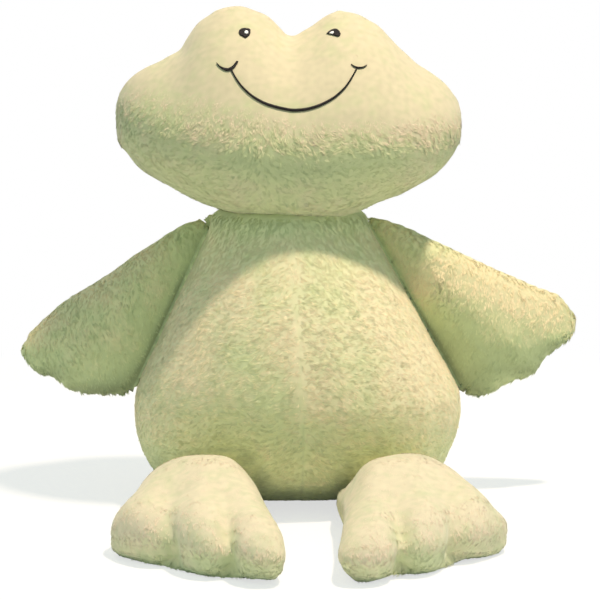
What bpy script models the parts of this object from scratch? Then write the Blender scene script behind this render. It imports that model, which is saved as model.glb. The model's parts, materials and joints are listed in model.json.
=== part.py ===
"""A sitting plush frog, about 0.55 m tall: fur fabric panels sewn over polyester fillings.

The frog faces -Y and sits on the plane z = 0. Left and right are the viewer's, seen from the front.
Every stuffed part is a filling inside thin fabric panels, and the face is embroidered.
The head turns and nods on the domed neck filling, and each limb swings about its sewn seam.
"""

import math

import bmesh
import bpy
from mathutils import Matrix, Vector

# Fabric and the small clearances between sewn pieces
FUR_CLOTH = 0.0030
SEAM_GAP = 0.0003
FILLING_GAP = 0.0006
SEWN_EDGE = 0.0018
HINGE_INSET = 0.0010
SHOULDER_GAP = 0.0009
HIP_GAP = 0.0005

# Body: a pear of oval sections on a flat seat
BODY_HEIGHT = 0.3220
BODY_HALF_WIDTH = 0.1835
BODY_FRONT = 0.1530
BODY_BACK = 0.1280
BODY_HEIGHT_SHARES = (0, 0.009, 0.030, 0.060, 0.110, 0.200, 0.326, 0.404, 0.512, 0.643, 0.811, 0.910, 1)
BODY_WIDTH_SHARES = (0.54, 0.65, 0.76, 0.84, 0.91, 0.975, 1, 0.970, 0.872, 0.756, 0.605, 0.516, 0.436)
BODY_FRONT_SHARES = (0.27, 0.365, 0.495, 0.62, 0.765, 0.90, 0.98, 1, 0.975, 0.895, 0.715, 0.61, 0.52)
BODY_BACK_SHARES = (0.64, 0.74, 0.82, 0.87, 0.92, 0.98, 1, 0.99, 0.95, 0.865, 0.725, 0.66, 0.60)
BODY_ROWS = 15
BODY_ROW_POWER = 0.9
BODY_COLUMNS = 24

# The upper body leans a little to the viewer's left
LEAN_AT_NECK = -0.0100
LEAN_START_SHARE = 0.31

# Neck: a dome of firm filling on which the head turns and nods
NECK_BALL_RADIUS = 0.1000
NECK_BALL_DROP = 0.0600
NECK_SIDES = 24
NECK_RINGS = 18

# Head: a wide cushion of a front and a back sheet, with two eye mounds on its crown
HEAD_HALF_WIDTH = 0.1960
HEAD_TIP_SHARE = 0.97
HEAD_TIP_CROWD_SHARE = 0.65
HEAD_SEAM_RISE = 0.0965
HEAD_SEAM_HEIGHT = BODY_HEIGHT + HEAD_SEAM_RISE
HEAD_SEAM_BACK = 0.0050
HEAD_CROWN = 0.0830
HEAD_CROWN_POWER = 2.95
HEAD_JAW = 0.1045
HEAD_JAW_POWER = 1.7
HEAD_COCK_SLOPE = 0.014
HEAD_FRONT = 0.1200
HEAD_BACK = 0.0900
LIP_DROP = 0.0245
LIP_RISE_AT_TIPS = 0.0240
FACE_POWER = 1.6
FACE_ROOT = 0.75
CHIN_POWER = 3.0
CHIN_ROOT = 0.5
BACK_POWER = 2.4
BACK_ROOT = 0.5
SIDE_POWER = 2.4
SIDE_ROOT = 0.55
MOUND_HEIGHTS = (0.0445, 0.0405)
MOUND_CENTRES = (-0.0510, 0.0565)
MOUND_INNER_WIDTHS = (0.0425, 0.0375)
MOUND_OUTER_WIDTH = 0.0590
MOUND_INNER_POWER = 2.5
MOUND_OUTER_POWER = 4
HEAD_COLUMNS = 20
CHIN_ROWS = 4
FACE_ROWS = 6

# Embroidery on the face, at heights over the head's side seam
STITCH_RADIUS = 0.0014
STITCH_SIDES_RESOLUTION = 1
SMILE_CENTRE_OFFSET = -0.0070
SMILE_LOW_RISE = 0.0160
SMILE_HALF_WIDTH = 0.0670
SMILE_HEIGHT = 0.0400
SMILE_POWER = 2.6
SMILE_POINTS = 45
CHEEK_HALF_WIDTH = 0.0120
CHEEK_DROP = 0.0060
CHEEK_TURN = 6.0
CHEEK_POINTS = 7
EYE_WIDTH = 0.0130
EYE_HEIGHT = 0.0098
EYE_THICKNESS = 0.0014
EYE_BEVEL = 0.0006
EYE_OFFSETS = (-0.0592, 0.0385)
EYE_RISE = 0.0975
EYE_SIDES = 20
GLINT_WIDTH = 0.0046
GLINT_HEIGHT = 0.0038
GLINT_THICKNESS = 0.0006
GLINT_SHIFTS = ((0.0026, 0.0010), (-0.0030, 0.0008))
GLINT_SIDES = 12

# Arm: a webbed fin, sewn to the body's side seam along its inner edge
ARM_SEAM_TOP_SHARE = 0.972
ARM_SEAM_LOW_SHARE = 0.404
ARM_EDGE_LENGTHS = (0.2120, 0.2190)
ARM_SPAN = 0.1550
ARM_HALF_THICKNESS = 0.0280
ARM_SEAM_SLOPE_LENGTH = 0.0170
ARM_STATION_SHARES = (0, 0.2, 0.4, 0.6, 0.8, 1)
ARM_SPAN_SHARES = (0.085, 0.27, 0.465, 0.672, 0.885, 1)
ARM_RUN_SHARES = (0, 0.19, 0.395, 0.60, 0.80, 1)
ARM_THICK_SHARES = (0.50, 0.72, 0.92, 1, 0.92, 0.72)
ARM_END_BULGE = 0.0270
ARM_END_LOBE = 0.0050
ARM_SWEEPS = (-26.0, -5.0)
ARM_DROOPS = (0.068, -0.025)
ARM_END_POWER = 4
ARM_CORNER_POWER = 4
ARM_ROWS = 11
ARM_COLUMNS = 12

# Leg: a short stuffed leg that widens into a three-toed foot, hinged at the belly's foot
LEG_LENGTH = 0.2420
LEG_SEAM_HEIGHT = 0.0290
LEG_TOP = 0.0560
LEG_HALF_WIDTH = 0.0940
LEG_STATION_SHARES = (0, 0.10, 0.25, 0.42, 0.60, 0.78, 0.92, 1)
LEG_WIDTH_SHARES = (0.58, 0.64, 0.69, 0.73, 0.81, 0.94, 1, 0.95)
LEG_TOP_SHARES = (0.12, 0.27, 0.66, 1, 0.90, 0.69, 0.60, 0.56)
LEG_SOLE_SHARES = (0.12, 0.80, 1.35, 1.5, 1.5, 1.5, 1.5, 1.4)
LEG_TOE_ARC = 0.0200
LEG_TOE_LOBE = 0.0110
LEG_TURNS = (-20.0, 22.0)
LEG_HEADINGS = (-1.0, 5.0)
LEG_HIP_OFFSETS = (-0.1040, 0.0920)
LEG_TOE_SLOPE = 0.31
LEG_SIDE_POWER = 2.6
LEG_SOLE_POWER = 6
SOLE_TOE_ROUND_SHARE = 0.09
LEG_GROOVE_START = 0.5
LEG_ROWS = 12
LEG_COLUMNS = 14
LOBES = 3
LOBE_GROOVE_SHARE = 0.34
ARM_GROOVE_SHARE = 0.16
GROOVE_WIDTH_SHARE = 0.17
END_ROUND_SHARE = 0.16

# Fabric and thread colours
PILE_COLOUR = (0.60, 0.70, 0.38, 1)
PILE_PALE_COLOUR = (0.70, 0.76, 0.48, 1)
FILLING_COLOUR = (0.86, 0.86, 0.83, 1)
THREAD_DARK_COLOUR = (0.020, 0.014, 0.012, 1)
THREAD_LIGHT_COLOUR = (0.88, 0.87, 0.84, 1)
FABRIC_ROUGHNESS = 0.95
THREAD_ROUGHNESS = 0.6

# Creases sharper than these stay sharp when a piece is shaded
FABRIC_SHARP_ANGLE = 50.0
DISC_SHARP_ANGLE = 30.0


def clear_scene():
    for old in list(bpy.data.objects):
        bpy.data.objects.remove(old, do_unlink=True)


def new_collection(name):
    made = bpy.data.collections.new(name)
    bpy.context.scene.collection.children.link(made)
    return made


def new_material(name, colour, roughness):
    made = bpy.data.materials.new(name)
    made.use_nodes = True
    shader = made.node_tree.nodes["Principled BSDF"]
    shader.inputs["Base Color"].default_value = colour
    shader.inputs["Roughness"].default_value = roughness
    shader.inputs["Metallic"].default_value = 0
    return made


def new_empty(name, matrix, parent=None):
    made = bpy.data.objects.new(name, None)
    PARTS.objects.link(made)
    made.parent = parent
    made.matrix_world = matrix
    return made


def share_curve(places, values, at):
    """A smooth curve through the values of a table, read at one place."""
    last = len(places) - 1
    at = min(max(at, places[0]), places[last])
    slopes = []
    for i in range(last + 1):
        before, after = max(i - 1, 0), min(i + 1, last)
        slopes.append((values[after] - values[before]) / (places[after] - places[before]))
    i = 0
    while i < last - 1 and at > places[i + 1]:
        i += 1
    width = places[i + 1] - places[i]
    t = (at - places[i]) / width
    rise = values[i + 1] - values[i]
    bend_in = slopes[i] * width - rise
    bend_out = rise - slopes[i + 1] * width
    return values[i] + t * rise + t * (1 - t) * ((1 - t) * bend_in + t * bend_out)


def eased(steps):
    """Shares from 0 to 1 that crowd towards both ends, where a stuffed edge curves most."""
    return [(1 - math.cos(math.pi * i / steps)) / 2 for i in range(steps + 1)]


def round_off(share):
    """A quarter circle: 0 at the edge, 1 from the full thickness on."""
    share = min(max(share, 0), 1)
    return math.sqrt(share * (2 - share))


def finish_mesh(name, bm, material, parent, sharp_angle=FABRIC_SHARP_ANGLE):
    bmesh.ops.recalc_face_normals(bm, faces=bm.faces)
    if bm.calc_volume(signed=True) < 0:
        bmesh.ops.reverse_faces(bm, faces=bm.faces)
    mesh = bpy.data.meshes.new(name)
    bm.to_mesh(mesh)
    bm.free()
    mesh.materials.append(material)
    mesh.shade_smooth()
    mesh.set_sharp_from_angle(angle=math.radians(sharp_angle))
    made = bpy.data.objects.new(name, mesh)
    PARTS.objects.link(made)
    made.parent = parent
    return made


def add_grid(bm, rows):
    return [[bm.verts.new(point) for point in row] for row in rows]


def add_strip(bm, first, second):
    for i in range(len(first) - 1):
        bm.faces.new((first[i], first[i + 1], second[i + 1], second[i]))


def add_sheet(bm, verts):
    """Faces between the rows; those at the sheet's corners are split through the corner."""
    last_row, last = len(verts) - 2, len(verts[0]) - 2
    corners = {(0, 0): 0, (0, last): 1, (last_row, last): 2, (last_row, 0): 3}
    for i in range(last_row + 1):
        for j in range(last + 1):
            cell = (verts[i][j], verts[i][j + 1], verts[i + 1][j + 1], verts[i + 1][j])
            turn = corners.get((i, j))
            if turn is None:
                bm.faces.new(cell)
            else:
                cell = cell[turn:] + cell[:turn]
                bm.faces.new(cell[:3])
                bm.faces.new((cell[0], cell[2], cell[3]))


def border(verts):
    """The four sides of a grid of vertices, in order round it."""
    sides = [verts[0], [row[-1] for row in verts], verts[-1][::-1], [row[0] for row in verts][::-1]]
    return sides


def panel_object(name, outer, inner, material, parent):
    """A fabric panel: an outer sheet, an inner one and the cut edges between them."""
    bm = bmesh.new()
    outside, inside = add_grid(bm, outer), add_grid(bm, inner)
    add_sheet(bm, outside)
    add_sheet(bm, inside)
    for side_out, side_in in zip(border(outside), border(inside)):
        add_strip(bm, side_out, side_in)
    return finish_mesh(name, bm, material, parent)


def pillow_object(name, front, back, material, parent):
    """A filling: two sheets that share their border."""
    bm = bmesh.new()
    face = add_grid(bm, front)
    rear = [row[:] for row in face]
    for i in range(1, len(back) - 1):
        for j in range(1, len(back[0]) - 1):
            rear[i][j] = bm.verts.new(back[i][j])
    add_sheet(bm, face)
    add_sheet(bm, rear)
    return finish_mesh(name, bm, material, parent)


def layer_thickness(thickness, inset, inside):
    """The half thickness under a layer: nothing on the sewn border, never less than the edge inside it."""
    if not inside:
        return 0
    least = SEWN_EDGE * (1 - inset / (2 * FUR_CLOTH))
    return max(thickness * thickness / (thickness + inset), least)


def lobe_wave(across, count):
    """Rounded lobes along an edge: 1 at each lobe's middle, 0 at the notches and corners."""
    place = (across + 1) / 2 * count
    return abs(math.sin(math.pi * min(max(place, 0), count)))


def groove_depth(across, count):
    """Grooves between neighbouring lobes: 1 on a groove's line, 0 away from it."""
    depth = 0
    for k in range(1, count):
        middle = 2 * k / count - 1
        depth += math.exp(-(((across - middle) / GROOVE_WIDTH_SHARE) ** 2))
    return depth


# Body

def body_lean(height):
    start = LEAN_START_SHARE * BODY_HEIGHT
    return LEAN_AT_NECK * max(0, height - start) / (BODY_HEIGHT - start)


def body_radii(height):
    share = height / BODY_HEIGHT
    wide = BODY_HALF_WIDTH * share_curve(BODY_HEIGHT_SHARES, BODY_WIDTH_SHARES, share)
    front = BODY_FRONT * share_curve(BODY_HEIGHT_SHARES, BODY_FRONT_SHARES, share)
    back = BODY_BACK * share_curve(BODY_HEIGHT_SHARES, BODY_BACK_SHARES, share)
    return wide, front, back


def body_heights():
    """Row heights, closer together where the seat's edge turns up."""
    shares = [1 - math.cos(math.pi / 2 * i / BODY_ROWS) for i in range(BODY_ROWS + 1)]
    return [BODY_HEIGHT * share**BODY_ROW_POWER for share in shares]


def body_point(height, angle):
    wide, front, back = body_radii(height)
    deep = front if math.sin(angle) < 0 else back
    return Vector((body_lean(height) + wide * math.cos(angle), deep * math.sin(angle), height))


def body_column(angle, inset, turn_gap):
    """One column of the body from seat to neck, moved in by a thickness and round by a gap."""
    heights = body_heights()
    column = []
    for i, height in enumerate(heights):
        lower, upper = heights[max(i - 1, 0)], heights[min(i + 1, BODY_ROWS)]
        radius = (body_point(height, angle) - Vector((body_lean(height), 0, height))).length
        near = angle + turn_gap / radius
        step = math.pi / BODY_COLUMNS
        along = body_point(upper, near) - body_point(lower, near)
        around = body_point(height, near + step) - body_point(height, near - step)
        out = around.cross(along).normalized()
        point = body_point(height, near)
        if i == BODY_ROWS:
            out = Vector((out.x, out.y, 0)).normalized()
        column.append(point - out * inset)
    return column


def body_quarter(first, last, inset):
    """The columns of one panel, from seam to seam, each seam with half its gap."""
    half_gap = SEAM_GAP / 2
    columns = []
    for k in range(first, last + 1):
        turn_gap = half_gap if k == first else -half_gap if k == last else 0
        columns.append(body_column(2 * math.pi * k / BODY_COLUMNS, inset, turn_gap))
    return columns


def make_body():
    quarter = BODY_COLUMNS // 4
    names = ("back_panel_right", "back_panel_left", "belly_panel_left", "belly_panel_right")
    for k, name in enumerate(names):
        first, last = k * quarter, (k + 1) * quarter
        material = BELLY if name.startswith("belly") else PILE
        panel_object(name, body_quarter(first, last, 0), body_quarter(first, last, FUR_CLOTH), material, SEAT)

    # The filling is closed by the seat panel below and the neck above
    inset = FUR_CLOTH + FILLING_GAP
    columns = [body_column(2 * math.pi * k / BODY_COLUMNS, inset, 0) for k in range(BODY_COLUMNS)]
    bm = bmesh.new()
    verts = add_grid(bm, columns)
    add_sheet(bm, verts + [verts[0]])
    bm.faces.new([column[0] for column in verts])
    bm.faces.new([column[-1] for column in verts])
    finish_mesh("body_filling", bm, FILLING, SEAT)

    # The seat is an oval panel inside the ring of the four others
    wide, front, back = body_radii(0)
    bm = bmesh.new()
    rings = []
    for height in (0, FUR_CLOTH):
        ring = []
        for k in range(BODY_COLUMNS):
            angle = 2 * math.pi * k / BODY_COLUMNS
            column = body_column(angle, 0, 0)
            inner = body_column(angle, FUR_CLOTH, 0)
            edge = column[0].lerp(inner[0], height / inner[0].z)
            clear = 1 - 2 * SEAM_GAP / min(wide, front, back)
            ring.append(bm.verts.new((edge.x * clear, edge.y * clear, height)))
        rings.append(ring)
    add_strip(bm, rings[0] + rings[0][:1], rings[1] + rings[1][:1])
    bm.faces.new(rings[0])
    bm.faces.new(rings[1])
    finish_mesh("seat_panel", bm, PILE, SEAT)


# Neck

def neck_centre():
    _, front, back = body_radii(BODY_HEIGHT)
    return Vector((LEAN_AT_NECK, (back - front) / 2, BODY_HEIGHT - NECK_BALL_DROP))


def make_neck():
    bm = bmesh.new()
    bmesh.ops.create_uvsphere(bm, u_segments=NECK_SIDES, v_segments=NECK_RINGS, radius=NECK_BALL_RADIUS)
    cut = bmesh.ops.bisect_plane(
        bm,
        geom=bm.verts[:] + bm.edges[:] + bm.faces[:],
        plane_co=(0, 0, NECK_BALL_DROP + SEAM_GAP),
        plane_no=(0, 0, 1),
        clear_inner=True,
    )
    rim = [piece for piece in cut["geom_cut"] if isinstance(piece, bmesh.types.BMEdge)]
    bmesh.ops.contextual_create(bm, geom=rim)
    finish_mesh("neck_filling", bm, FILLING, NECK)


# Head

def crown_height(x):
    """The head's upper outline from its side seam: a flat arch, two eye mounds and a slight cock."""
    share = min(abs(x) / HEAD_HALF_WIDTH, 1)
    height = HEAD_CROWN * math.sqrt(1 - share**HEAD_CROWN_POWER) - HEAD_COCK_SLOPE * x
    for mound, middle, inner_width in zip(MOUND_HEIGHTS, MOUND_CENTRES, MOUND_INNER_WIDTHS):
        inner = (x - middle) * middle < 0
        width = inner_width if inner else MOUND_OUTER_WIDTH
        power = MOUND_INNER_POWER if inner else MOUND_OUTER_POWER
        height += mound * math.exp(-((abs(x - middle) / width) ** power))
    return height


def jaw_height(x):
    share = min(abs(x) / HEAD_HALF_WIDTH, 1)
    return -HEAD_JAW * math.sqrt(1 - share**HEAD_JAW_POWER) - HEAD_COCK_SLOPE * x


def lip_height(x):
    """The line along which the head bulges most, where the face and chin panels meet."""
    share = x / HEAD_HALF_WIDTH
    return -LIP_DROP + LIP_RISE_AT_TIPS * share * share - HEAD_COCK_SLOPE * x


def head_side(x):
    """How full the head is on the way from its middle to its tips."""
    share = min(abs(x) / (HEAD_HALF_WIDTH * HEAD_TIP_SHARE), 1)
    return (1 - share**SIDE_POWER) ** SIDE_ROOT


def head_front(x, height):
    """The front sheet's depth: fullest at the lip, falling back to the crown and in to the neck."""
    lip = lip_height(x)
    if height > lip:
        share = min((height - lip) / (crown_height(x) - lip), 1)
        full = (1 - share**FACE_POWER) ** FACE_ROOT
    else:
        share = min((lip - height) / (lip - jaw_height(x)), 1)
        full = (1 - share**CHIN_POWER) ** CHIN_ROOT
    return HEAD_FRONT * full * head_side(x)


def head_back(x, height):
    low, high = jaw_height(x), crown_height(x)
    share = min(abs(2 * height - low - high) / (high - low), 1)
    return HEAD_BACK * (1 - share**BACK_POWER) ** BACK_ROOT * head_side(x)


def head_rows(x, inset):
    """Heights of one column's points, from jaw to lip to crown, crowded towards the outline."""
    low, lip, high = jaw_height(x), lip_height(x), crown_height(x)
    shares = [1 - math.cos(math.pi / 2 * k / CHIN_ROWS) for k in range(CHIN_ROWS)]
    rows = [low + (lip - low) * share for share in shares]
    shares = [math.sin(math.pi / 2 * k / FACE_ROWS) for k in range(FACE_ROWS + 1)]
    rows += [lip + (high - lip) * share for share in shares]
    fit = 1 - 2 * inset / (high - low)
    return rows, [(high + low) / 2 + (row - (high + low) / 2) * fit for row in rows]


def head_grid(inset, depth, side):
    """A sheet of the head in columns from tip to tip, each from jaw to crown."""
    reach = HEAD_HALF_WIDTH * HEAD_TIP_SHARE
    columns = []
    for i in range(HEAD_COLUMNS + 1):
        t = 2 * i / HEAD_COLUMNS - 1
        across = HEAD_TIP_CROWD_SHARE * math.sin(math.pi / 2 * t) + (1 - HEAD_TIP_CROWD_SHARE) * t
        x = across * (reach - inset)
        column = []
        for j, (height, fitted) in enumerate(zip(*head_rows(x, inset))):
            inside = 0 < i < HEAD_COLUMNS and 0 < j < CHIN_ROWS + FACE_ROWS
            deep = layer_thickness(depth(x, height), inset, inside)
            column.append(Vector((x, side * deep, fitted)))
        columns.append(column)
    return columns


def shifted(grid, offset):
    return [[point + offset for point in column] for column in grid]


def part_of(grid, columns, rows):
    return [column[rows[0] : rows[1] + 1] for column in grid[columns[0] : columns[1] + 1]]


def squeezed(outer, inner, gap, sides):
    """Moves the cut edges of a panel in from its neighbours by half a seam gap."""
    for grid in (outer, inner):
        rows = len(grid[0])
        if "first" in sides:
            for j in range(rows):
                grid[0][j] = grid[0][j] + (grid[1][j] - grid[0][j]).normalized() * gap
        if "last" in sides:
            for j in range(rows):
                grid[-1][j] = grid[-1][j] + (grid[-2][j] - grid[-1][j]).normalized() * gap
        if "low" in sides:
            for column in grid:
                column[0] = column[0] + (column[1] - column[0]).normalized() * gap
        if "high" in sides:
            for column in grid:
                column[-1] = column[-1] + (column[-2] - column[-1]).normalized() * gap
    return outer, inner


def head_panel(name, sheets, columns, rows, sides, material):
    outer, inner = (part_of(grid, columns, rows) for grid in sheets)
    outer, inner = squeezed(outer, inner, SEAM_GAP / 2, sides)
    return panel_object(name, outer, inner, material, HEAD)


def cut_with(target, cutter):
    cut = target.modifiers.new("neck_hollow", "BOOLEAN")
    cut.operation = "DIFFERENCE"
    cut.solver = "EXACT"
    cut.use_self = True
    cut.object = cutter


def make_head():
    # The pivot is the neck ball's centre, so the head's seam plane lies above and behind it
    place = Vector((LEAN_AT_NECK, HEAD_SEAM_BACK, HEAD_SEAM_HEIGHT)) - HEAD.matrix_world.translation
    half_gap = Vector((0, SEAM_GAP / 2, 0))
    fronts = [shifted(head_grid(inset, head_front, -1), place - half_gap) for inset in (0, FUR_CLOTH)]
    backs = [shifted(head_grid(inset, head_back, 1), place + half_gap) for inset in (0, FUR_CLOTH)]
    middle = HEAD_COLUMNS // 2
    left, right, whole = (0, middle), (middle, HEAD_COLUMNS), (0, HEAD_COLUMNS)
    rows = CHIN_ROWS + FACE_ROWS
    lower, upper, tall = (0, CHIN_ROWS), (CHIN_ROWS, rows), (0, rows)
    head_panel("face_panel", fronts, whole, upper, ("low",), BELLY)
    cut_pieces = [
        head_panel("chin_panel_left", fronts, left, lower, ("last", "high"), PILE),
        head_panel("chin_panel_right", fronts, right, lower, ("first", "high"), PILE),
        head_panel("head_back_panel_left", backs, left, tall, ("last",), PILE),
        head_panel("head_back_panel_right", backs, right, tall, ("first",), PILE),
    ]
    inset = FUR_CLOTH + FILLING_GAP
    front, back = (shifted(head_grid(inset, *sheet), place) for sheet in ((head_front, -1), (head_back, 1)))
    cut_pieces.append(pillow_object("head_filling", front, back, FILLING, HEAD))

    # The hollow's flats clear the corners of the neck's dome at every turn
    flats = math.cos(math.pi / NECK_SIDES) * math.cos(math.pi / 2 / NECK_RINGS)
    hollow = bmesh.new()
    bmesh.ops.create_uvsphere(
        hollow, u_segments=NECK_SIDES, v_segments=NECK_RINGS, radius=(NECK_BALL_RADIUS + SEAM_GAP) / flats
    )
    bmesh.ops.rotate(hollow, verts=hollow.verts, matrix=Matrix.Rotation(math.pi / NECK_SIDES, 3, "Z"))
    cutter = finish_mesh("neck_hollow_cutter", hollow, FILLING, HEAD)
    PARTS.objects.unlink(cutter)
    CUTTERS.objects.link(cutter)
    cutter.hide_render = True
    cutter.display_type = "WIRE"
    for piece in cut_pieces:
        cut_with(piece, cutter)


# Embroidery

def face_point(x, rise, lift):
    """The point of the face behind a place seen from the front, lifted off its cloth, and the way out."""
    before = Vector((x, HEAD_SEAM_BACK - 2 * HEAD_FRONT, HEAD_SEAM_HEIGHT + rise))
    start = before - HEAD.matrix_world.translation
    _, place, out, _ = bpy.data.objects["face_panel"].ray_cast(start, Vector((0, 1, 0)))
    return place + out * lift, out


def stitch_line(name, places, material):
    """A satin-stitched line, a round cord laid on the face."""
    curve = bpy.data.curves.new(name, "CURVE")
    curve.dimensions = "3D"
    curve.bevel_depth = STITCH_RADIUS
    curve.bevel_resolution = STITCH_SIDES_RESOLUTION
    curve.use_fill_caps = True
    spline = curve.splines.new("POLY")
    spline.points.add(len(places) - 1)
    for point, (x, rise) in zip(spline.points, places):
        place, _ = face_point(x, rise, STITCH_RADIUS + SEAM_GAP)
        point.co = (*place, 1)
    rough = bpy.data.objects.new(name + "_curve", curve)
    PARTS.objects.link(rough)
    rough.parent = HEAD
    bpy.context.view_layer.update()
    evaluated = rough.evaluated_get(bpy.context.evaluated_depsgraph_get())
    mesh = bpy.data.meshes.new_from_object(evaluated)
    bm = bmesh.new()
    bm.from_mesh(mesh)
    bmesh.ops.remove_doubles(bm, verts=bm.verts, dist=SEAM_GAP / 10)
    made = finish_mesh(name, bm, material, HEAD)
    made.matrix_world = rough.matrix_world
    bpy.data.objects.remove(rough)
    return made


def disc_object(name, seat, shift, lift, sizes, sides, material):
    """A flat satin-stitched oval, lying parallel to the face at its seat."""
    width, tall, thick = sizes
    place, out = seat
    side = Vector((1, 0, 0)) - out * out.x
    side.normalize()
    up = out.cross(side)
    bm = bmesh.new()
    bmesh.ops.create_cone(
        bm, cap_ends=True, segments=sides, radius1=width / 2, radius2=width / 2, depth=thick
    )
    bmesh.ops.scale(bm, verts=bm.verts, vec=(1, tall / width, 1))
    frame = Matrix((side, up, out)).transposed().to_4x4()
    bmesh.ops.transform(bm, matrix=frame, verts=bm.verts)
    middle = place + side * shift[0] + up * shift[1] + out * (lift + thick / 2)
    bmesh.ops.translate(bm, vec=middle, verts=bm.verts)
    return finish_mesh(name, bm, material, HEAD, sharp_angle=DISC_SHARP_ANGLE)


def make_embroidery():
    smile = []
    for i in range(SMILE_POINTS):
        t = 2 * i / (SMILE_POINTS - 1) - 1
        rise = SMILE_LOW_RISE + SMILE_HEIGHT * abs(t) ** SMILE_POWER
        smile.append((SMILE_CENTRE_OFFSET + t * SMILE_HALF_WIDTH, rise))
    stitch_line("smile_embroidery", smile, THREAD_DARK)
    for side, name in ((-1, "cheek_stitch_left"), (1, "cheek_stitch_right")):
        middle_x = SMILE_CENTRE_OFFSET + side * (SMILE_HALF_WIDTH + 2 * STITCH_RADIUS)
        middle_z = SMILE_LOW_RISE + SMILE_HEIGHT + 2 * STITCH_RADIUS + SEAM_GAP
        tilt = math.radians(CHEEK_TURN) * -side
        places = []
        for i in range(CHEEK_POINTS):
            t = 2 * i / (CHEEK_POINTS - 1) - 1
            flat = t * CHEEK_HALF_WIDTH
            rise = CHEEK_DROP * t * t
            places.append((
                middle_x + flat * math.cos(tilt) - rise * math.sin(tilt),
                middle_z + flat * math.sin(tilt) + rise * math.cos(tilt),
            ))
        stitch_line(name, places, THREAD_DARK)
    for side, x, shift in zip(("left", "right"), EYE_OFFSETS, GLINT_SHIFTS):
        seat = face_point(x, EYE_RISE, 0)
        sizes = (EYE_WIDTH, EYE_HEIGHT, EYE_THICKNESS)
        eye = disc_object("eye_" + side, seat, (0, 0), SEAM_GAP, sizes, EYE_SIDES, THREAD_DARK)
        bevel = eye.modifiers.new("soft_edge", "BEVEL")
        bevel.width = EYE_BEVEL
        bevel.segments = 1
        disc_object(
            "eye_glint_" + side,
            seat,
            shift,
            EYE_THICKNESS + 2 * SEAM_GAP,
            (GLINT_WIDTH, GLINT_HEIGHT, GLINT_THICKNESS),
            GLINT_SIDES,
            THREAD_LIGHT,
        )


# Limbs

def limb_grid(plan, thickness, rows, columns, inset, sizes, side):
    """A sheet of a flat stuffed limb, in rows from one end to the other."""
    length, width = sizes
    grid = []
    for i, share in enumerate(eased(rows)):
        line = []
        run = share * (1 - 2 * inset / length) + inset / length
        for j, across_share in enumerate(eased(columns)):
            across = 2 * across_share - 1
            place = plan(run, across * (1 - 2 * inset / width(share)))
            inside = 0 < i < rows and 0 < j < columns
            deep = layer_thickness(thickness(share, across), inset, inside)
            line.append(Vector((place[0], place[1], side * deep)))
        grid.append(line)
    return grid


def limb_objects(names, plan, thicknesses, rows, columns, sizes, parent):
    """The two panels and the filling of a limb, in the frame of its hinge."""
    half_gap = Vector((0, 0, SEAM_GAP / 2))
    for name, thickness, side in zip(names, thicknesses, (1, -1)):
        outer, inner = (
            shifted(limb_grid(plan, thickness, rows, columns, inset, sizes, side), half_gap * side)
            for inset in (0, FUR_CLOTH)
        )
        panel_object(name, outer, inner, PILE, parent)
    inset = FUR_CLOTH + FILLING_GAP
    top, bottom = (
        limb_grid(plan, thickness, rows, columns, inset, sizes, side)
        for thickness, side in zip(thicknesses, (1, -1))
    )
    pillow_object(names[2], top, bottom, FILLING, parent)


def arm_width(share):
    return ARM_SPAN * share_curve(ARM_STATION_SHARES, ARM_SPAN_SHARES, share)


def arm_plan(length, droop):
    """Places along and out from the shoulder seam: a fin whose end bulges into three fingers."""

    def place(run, across):
        outer_run = share_curve(ARM_STATION_SHARES, ARM_RUN_SHARES, run)
        share = (across + 1) / 2
        out = arm_width(run) * share - HINGE_INSET
        bulge = ARM_END_BULGE * (1 - across**ARM_CORNER_POWER) + ARM_END_LOBE * lobe_wave(across, LOBES)
        along = length * (run + (outer_run - run) * share) + bulge * run**ARM_END_POWER
        return along + droop * out, out

    return place


def arm_thickness(share, across):
    """Pinched flat at the shoulder seam, swelling outwards, with soft grooves between the fingers."""
    full = ARM_HALF_THICKNESS * share_curve(ARM_STATION_SHARES, ARM_THICK_SHARES, share)
    out = arm_width(share) * (across + 1) / 2
    from_seam = 1 - math.exp(-out / ARM_SEAM_SLOPE_LENGTH)
    ends = round_off(share / END_ROUND_SHARE) * round_off((1 - share) / END_ROUND_SHARE)
    groove = 1 - ARM_GROOVE_SHARE * groove_depth(across, LOBES) * share**ARM_END_POWER
    return full * math.sqrt(max(0, 1 - across * across)) * from_seam * ends * groove


def shoulder_line(side):
    """The straight side seam of the upper body: its top point and its downward direction."""
    ends = []
    for share in (ARM_SEAM_TOP_SHARE, ARM_SEAM_LOW_SHARE):
        height = share * BODY_HEIGHT
        wide, _, _ = body_radii(height)
        ends.append(Vector((body_lean(height) + side * wide, 0, height)))
    return ends[0], (ends[1] - ends[0]).normalized()


def make_arms():
    for k, word in enumerate(("left", "right")):
        side, sweep, length = 2 * k - 1, ARM_SWEEPS[k], ARM_EDGE_LENGTHS[k]
        top, down = shoulder_line(side)
        out = Vector((down.z * -side, 0, down.x * side))
        axis_point = top + out * (SHOULDER_GAP + HINGE_INSET)
        frame = Matrix((down, out, down.cross(out))).transposed().to_4x4()
        turn = Matrix.Rotation(math.radians(sweep) * side, 4, down)
        shoulder = new_empty("shoulder_" + word, Matrix.Translation(axis_point) @ turn @ frame, SEAT)
        fore, aft = ("back", "front") if side < 0 else ("front", "back")
        names = [f"arm_{word}_{face}_panel" for face in (fore, aft)] + [f"arm_{word}_filling"]
        plan = arm_plan(length, ARM_DROOPS[k])
        thicknesses = (arm_thickness, arm_thickness)
        limb_objects(names, plan, thicknesses, ARM_ROWS, ARM_COLUMNS, (length, arm_width), shoulder)


def leg_half_width(share):
    return LEG_HALF_WIDTH * share_curve(LEG_STATION_SHARES, LEG_WIDTH_SHARES, share)


def leg_width(share):
    return 2 * leg_half_width(share)


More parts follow.
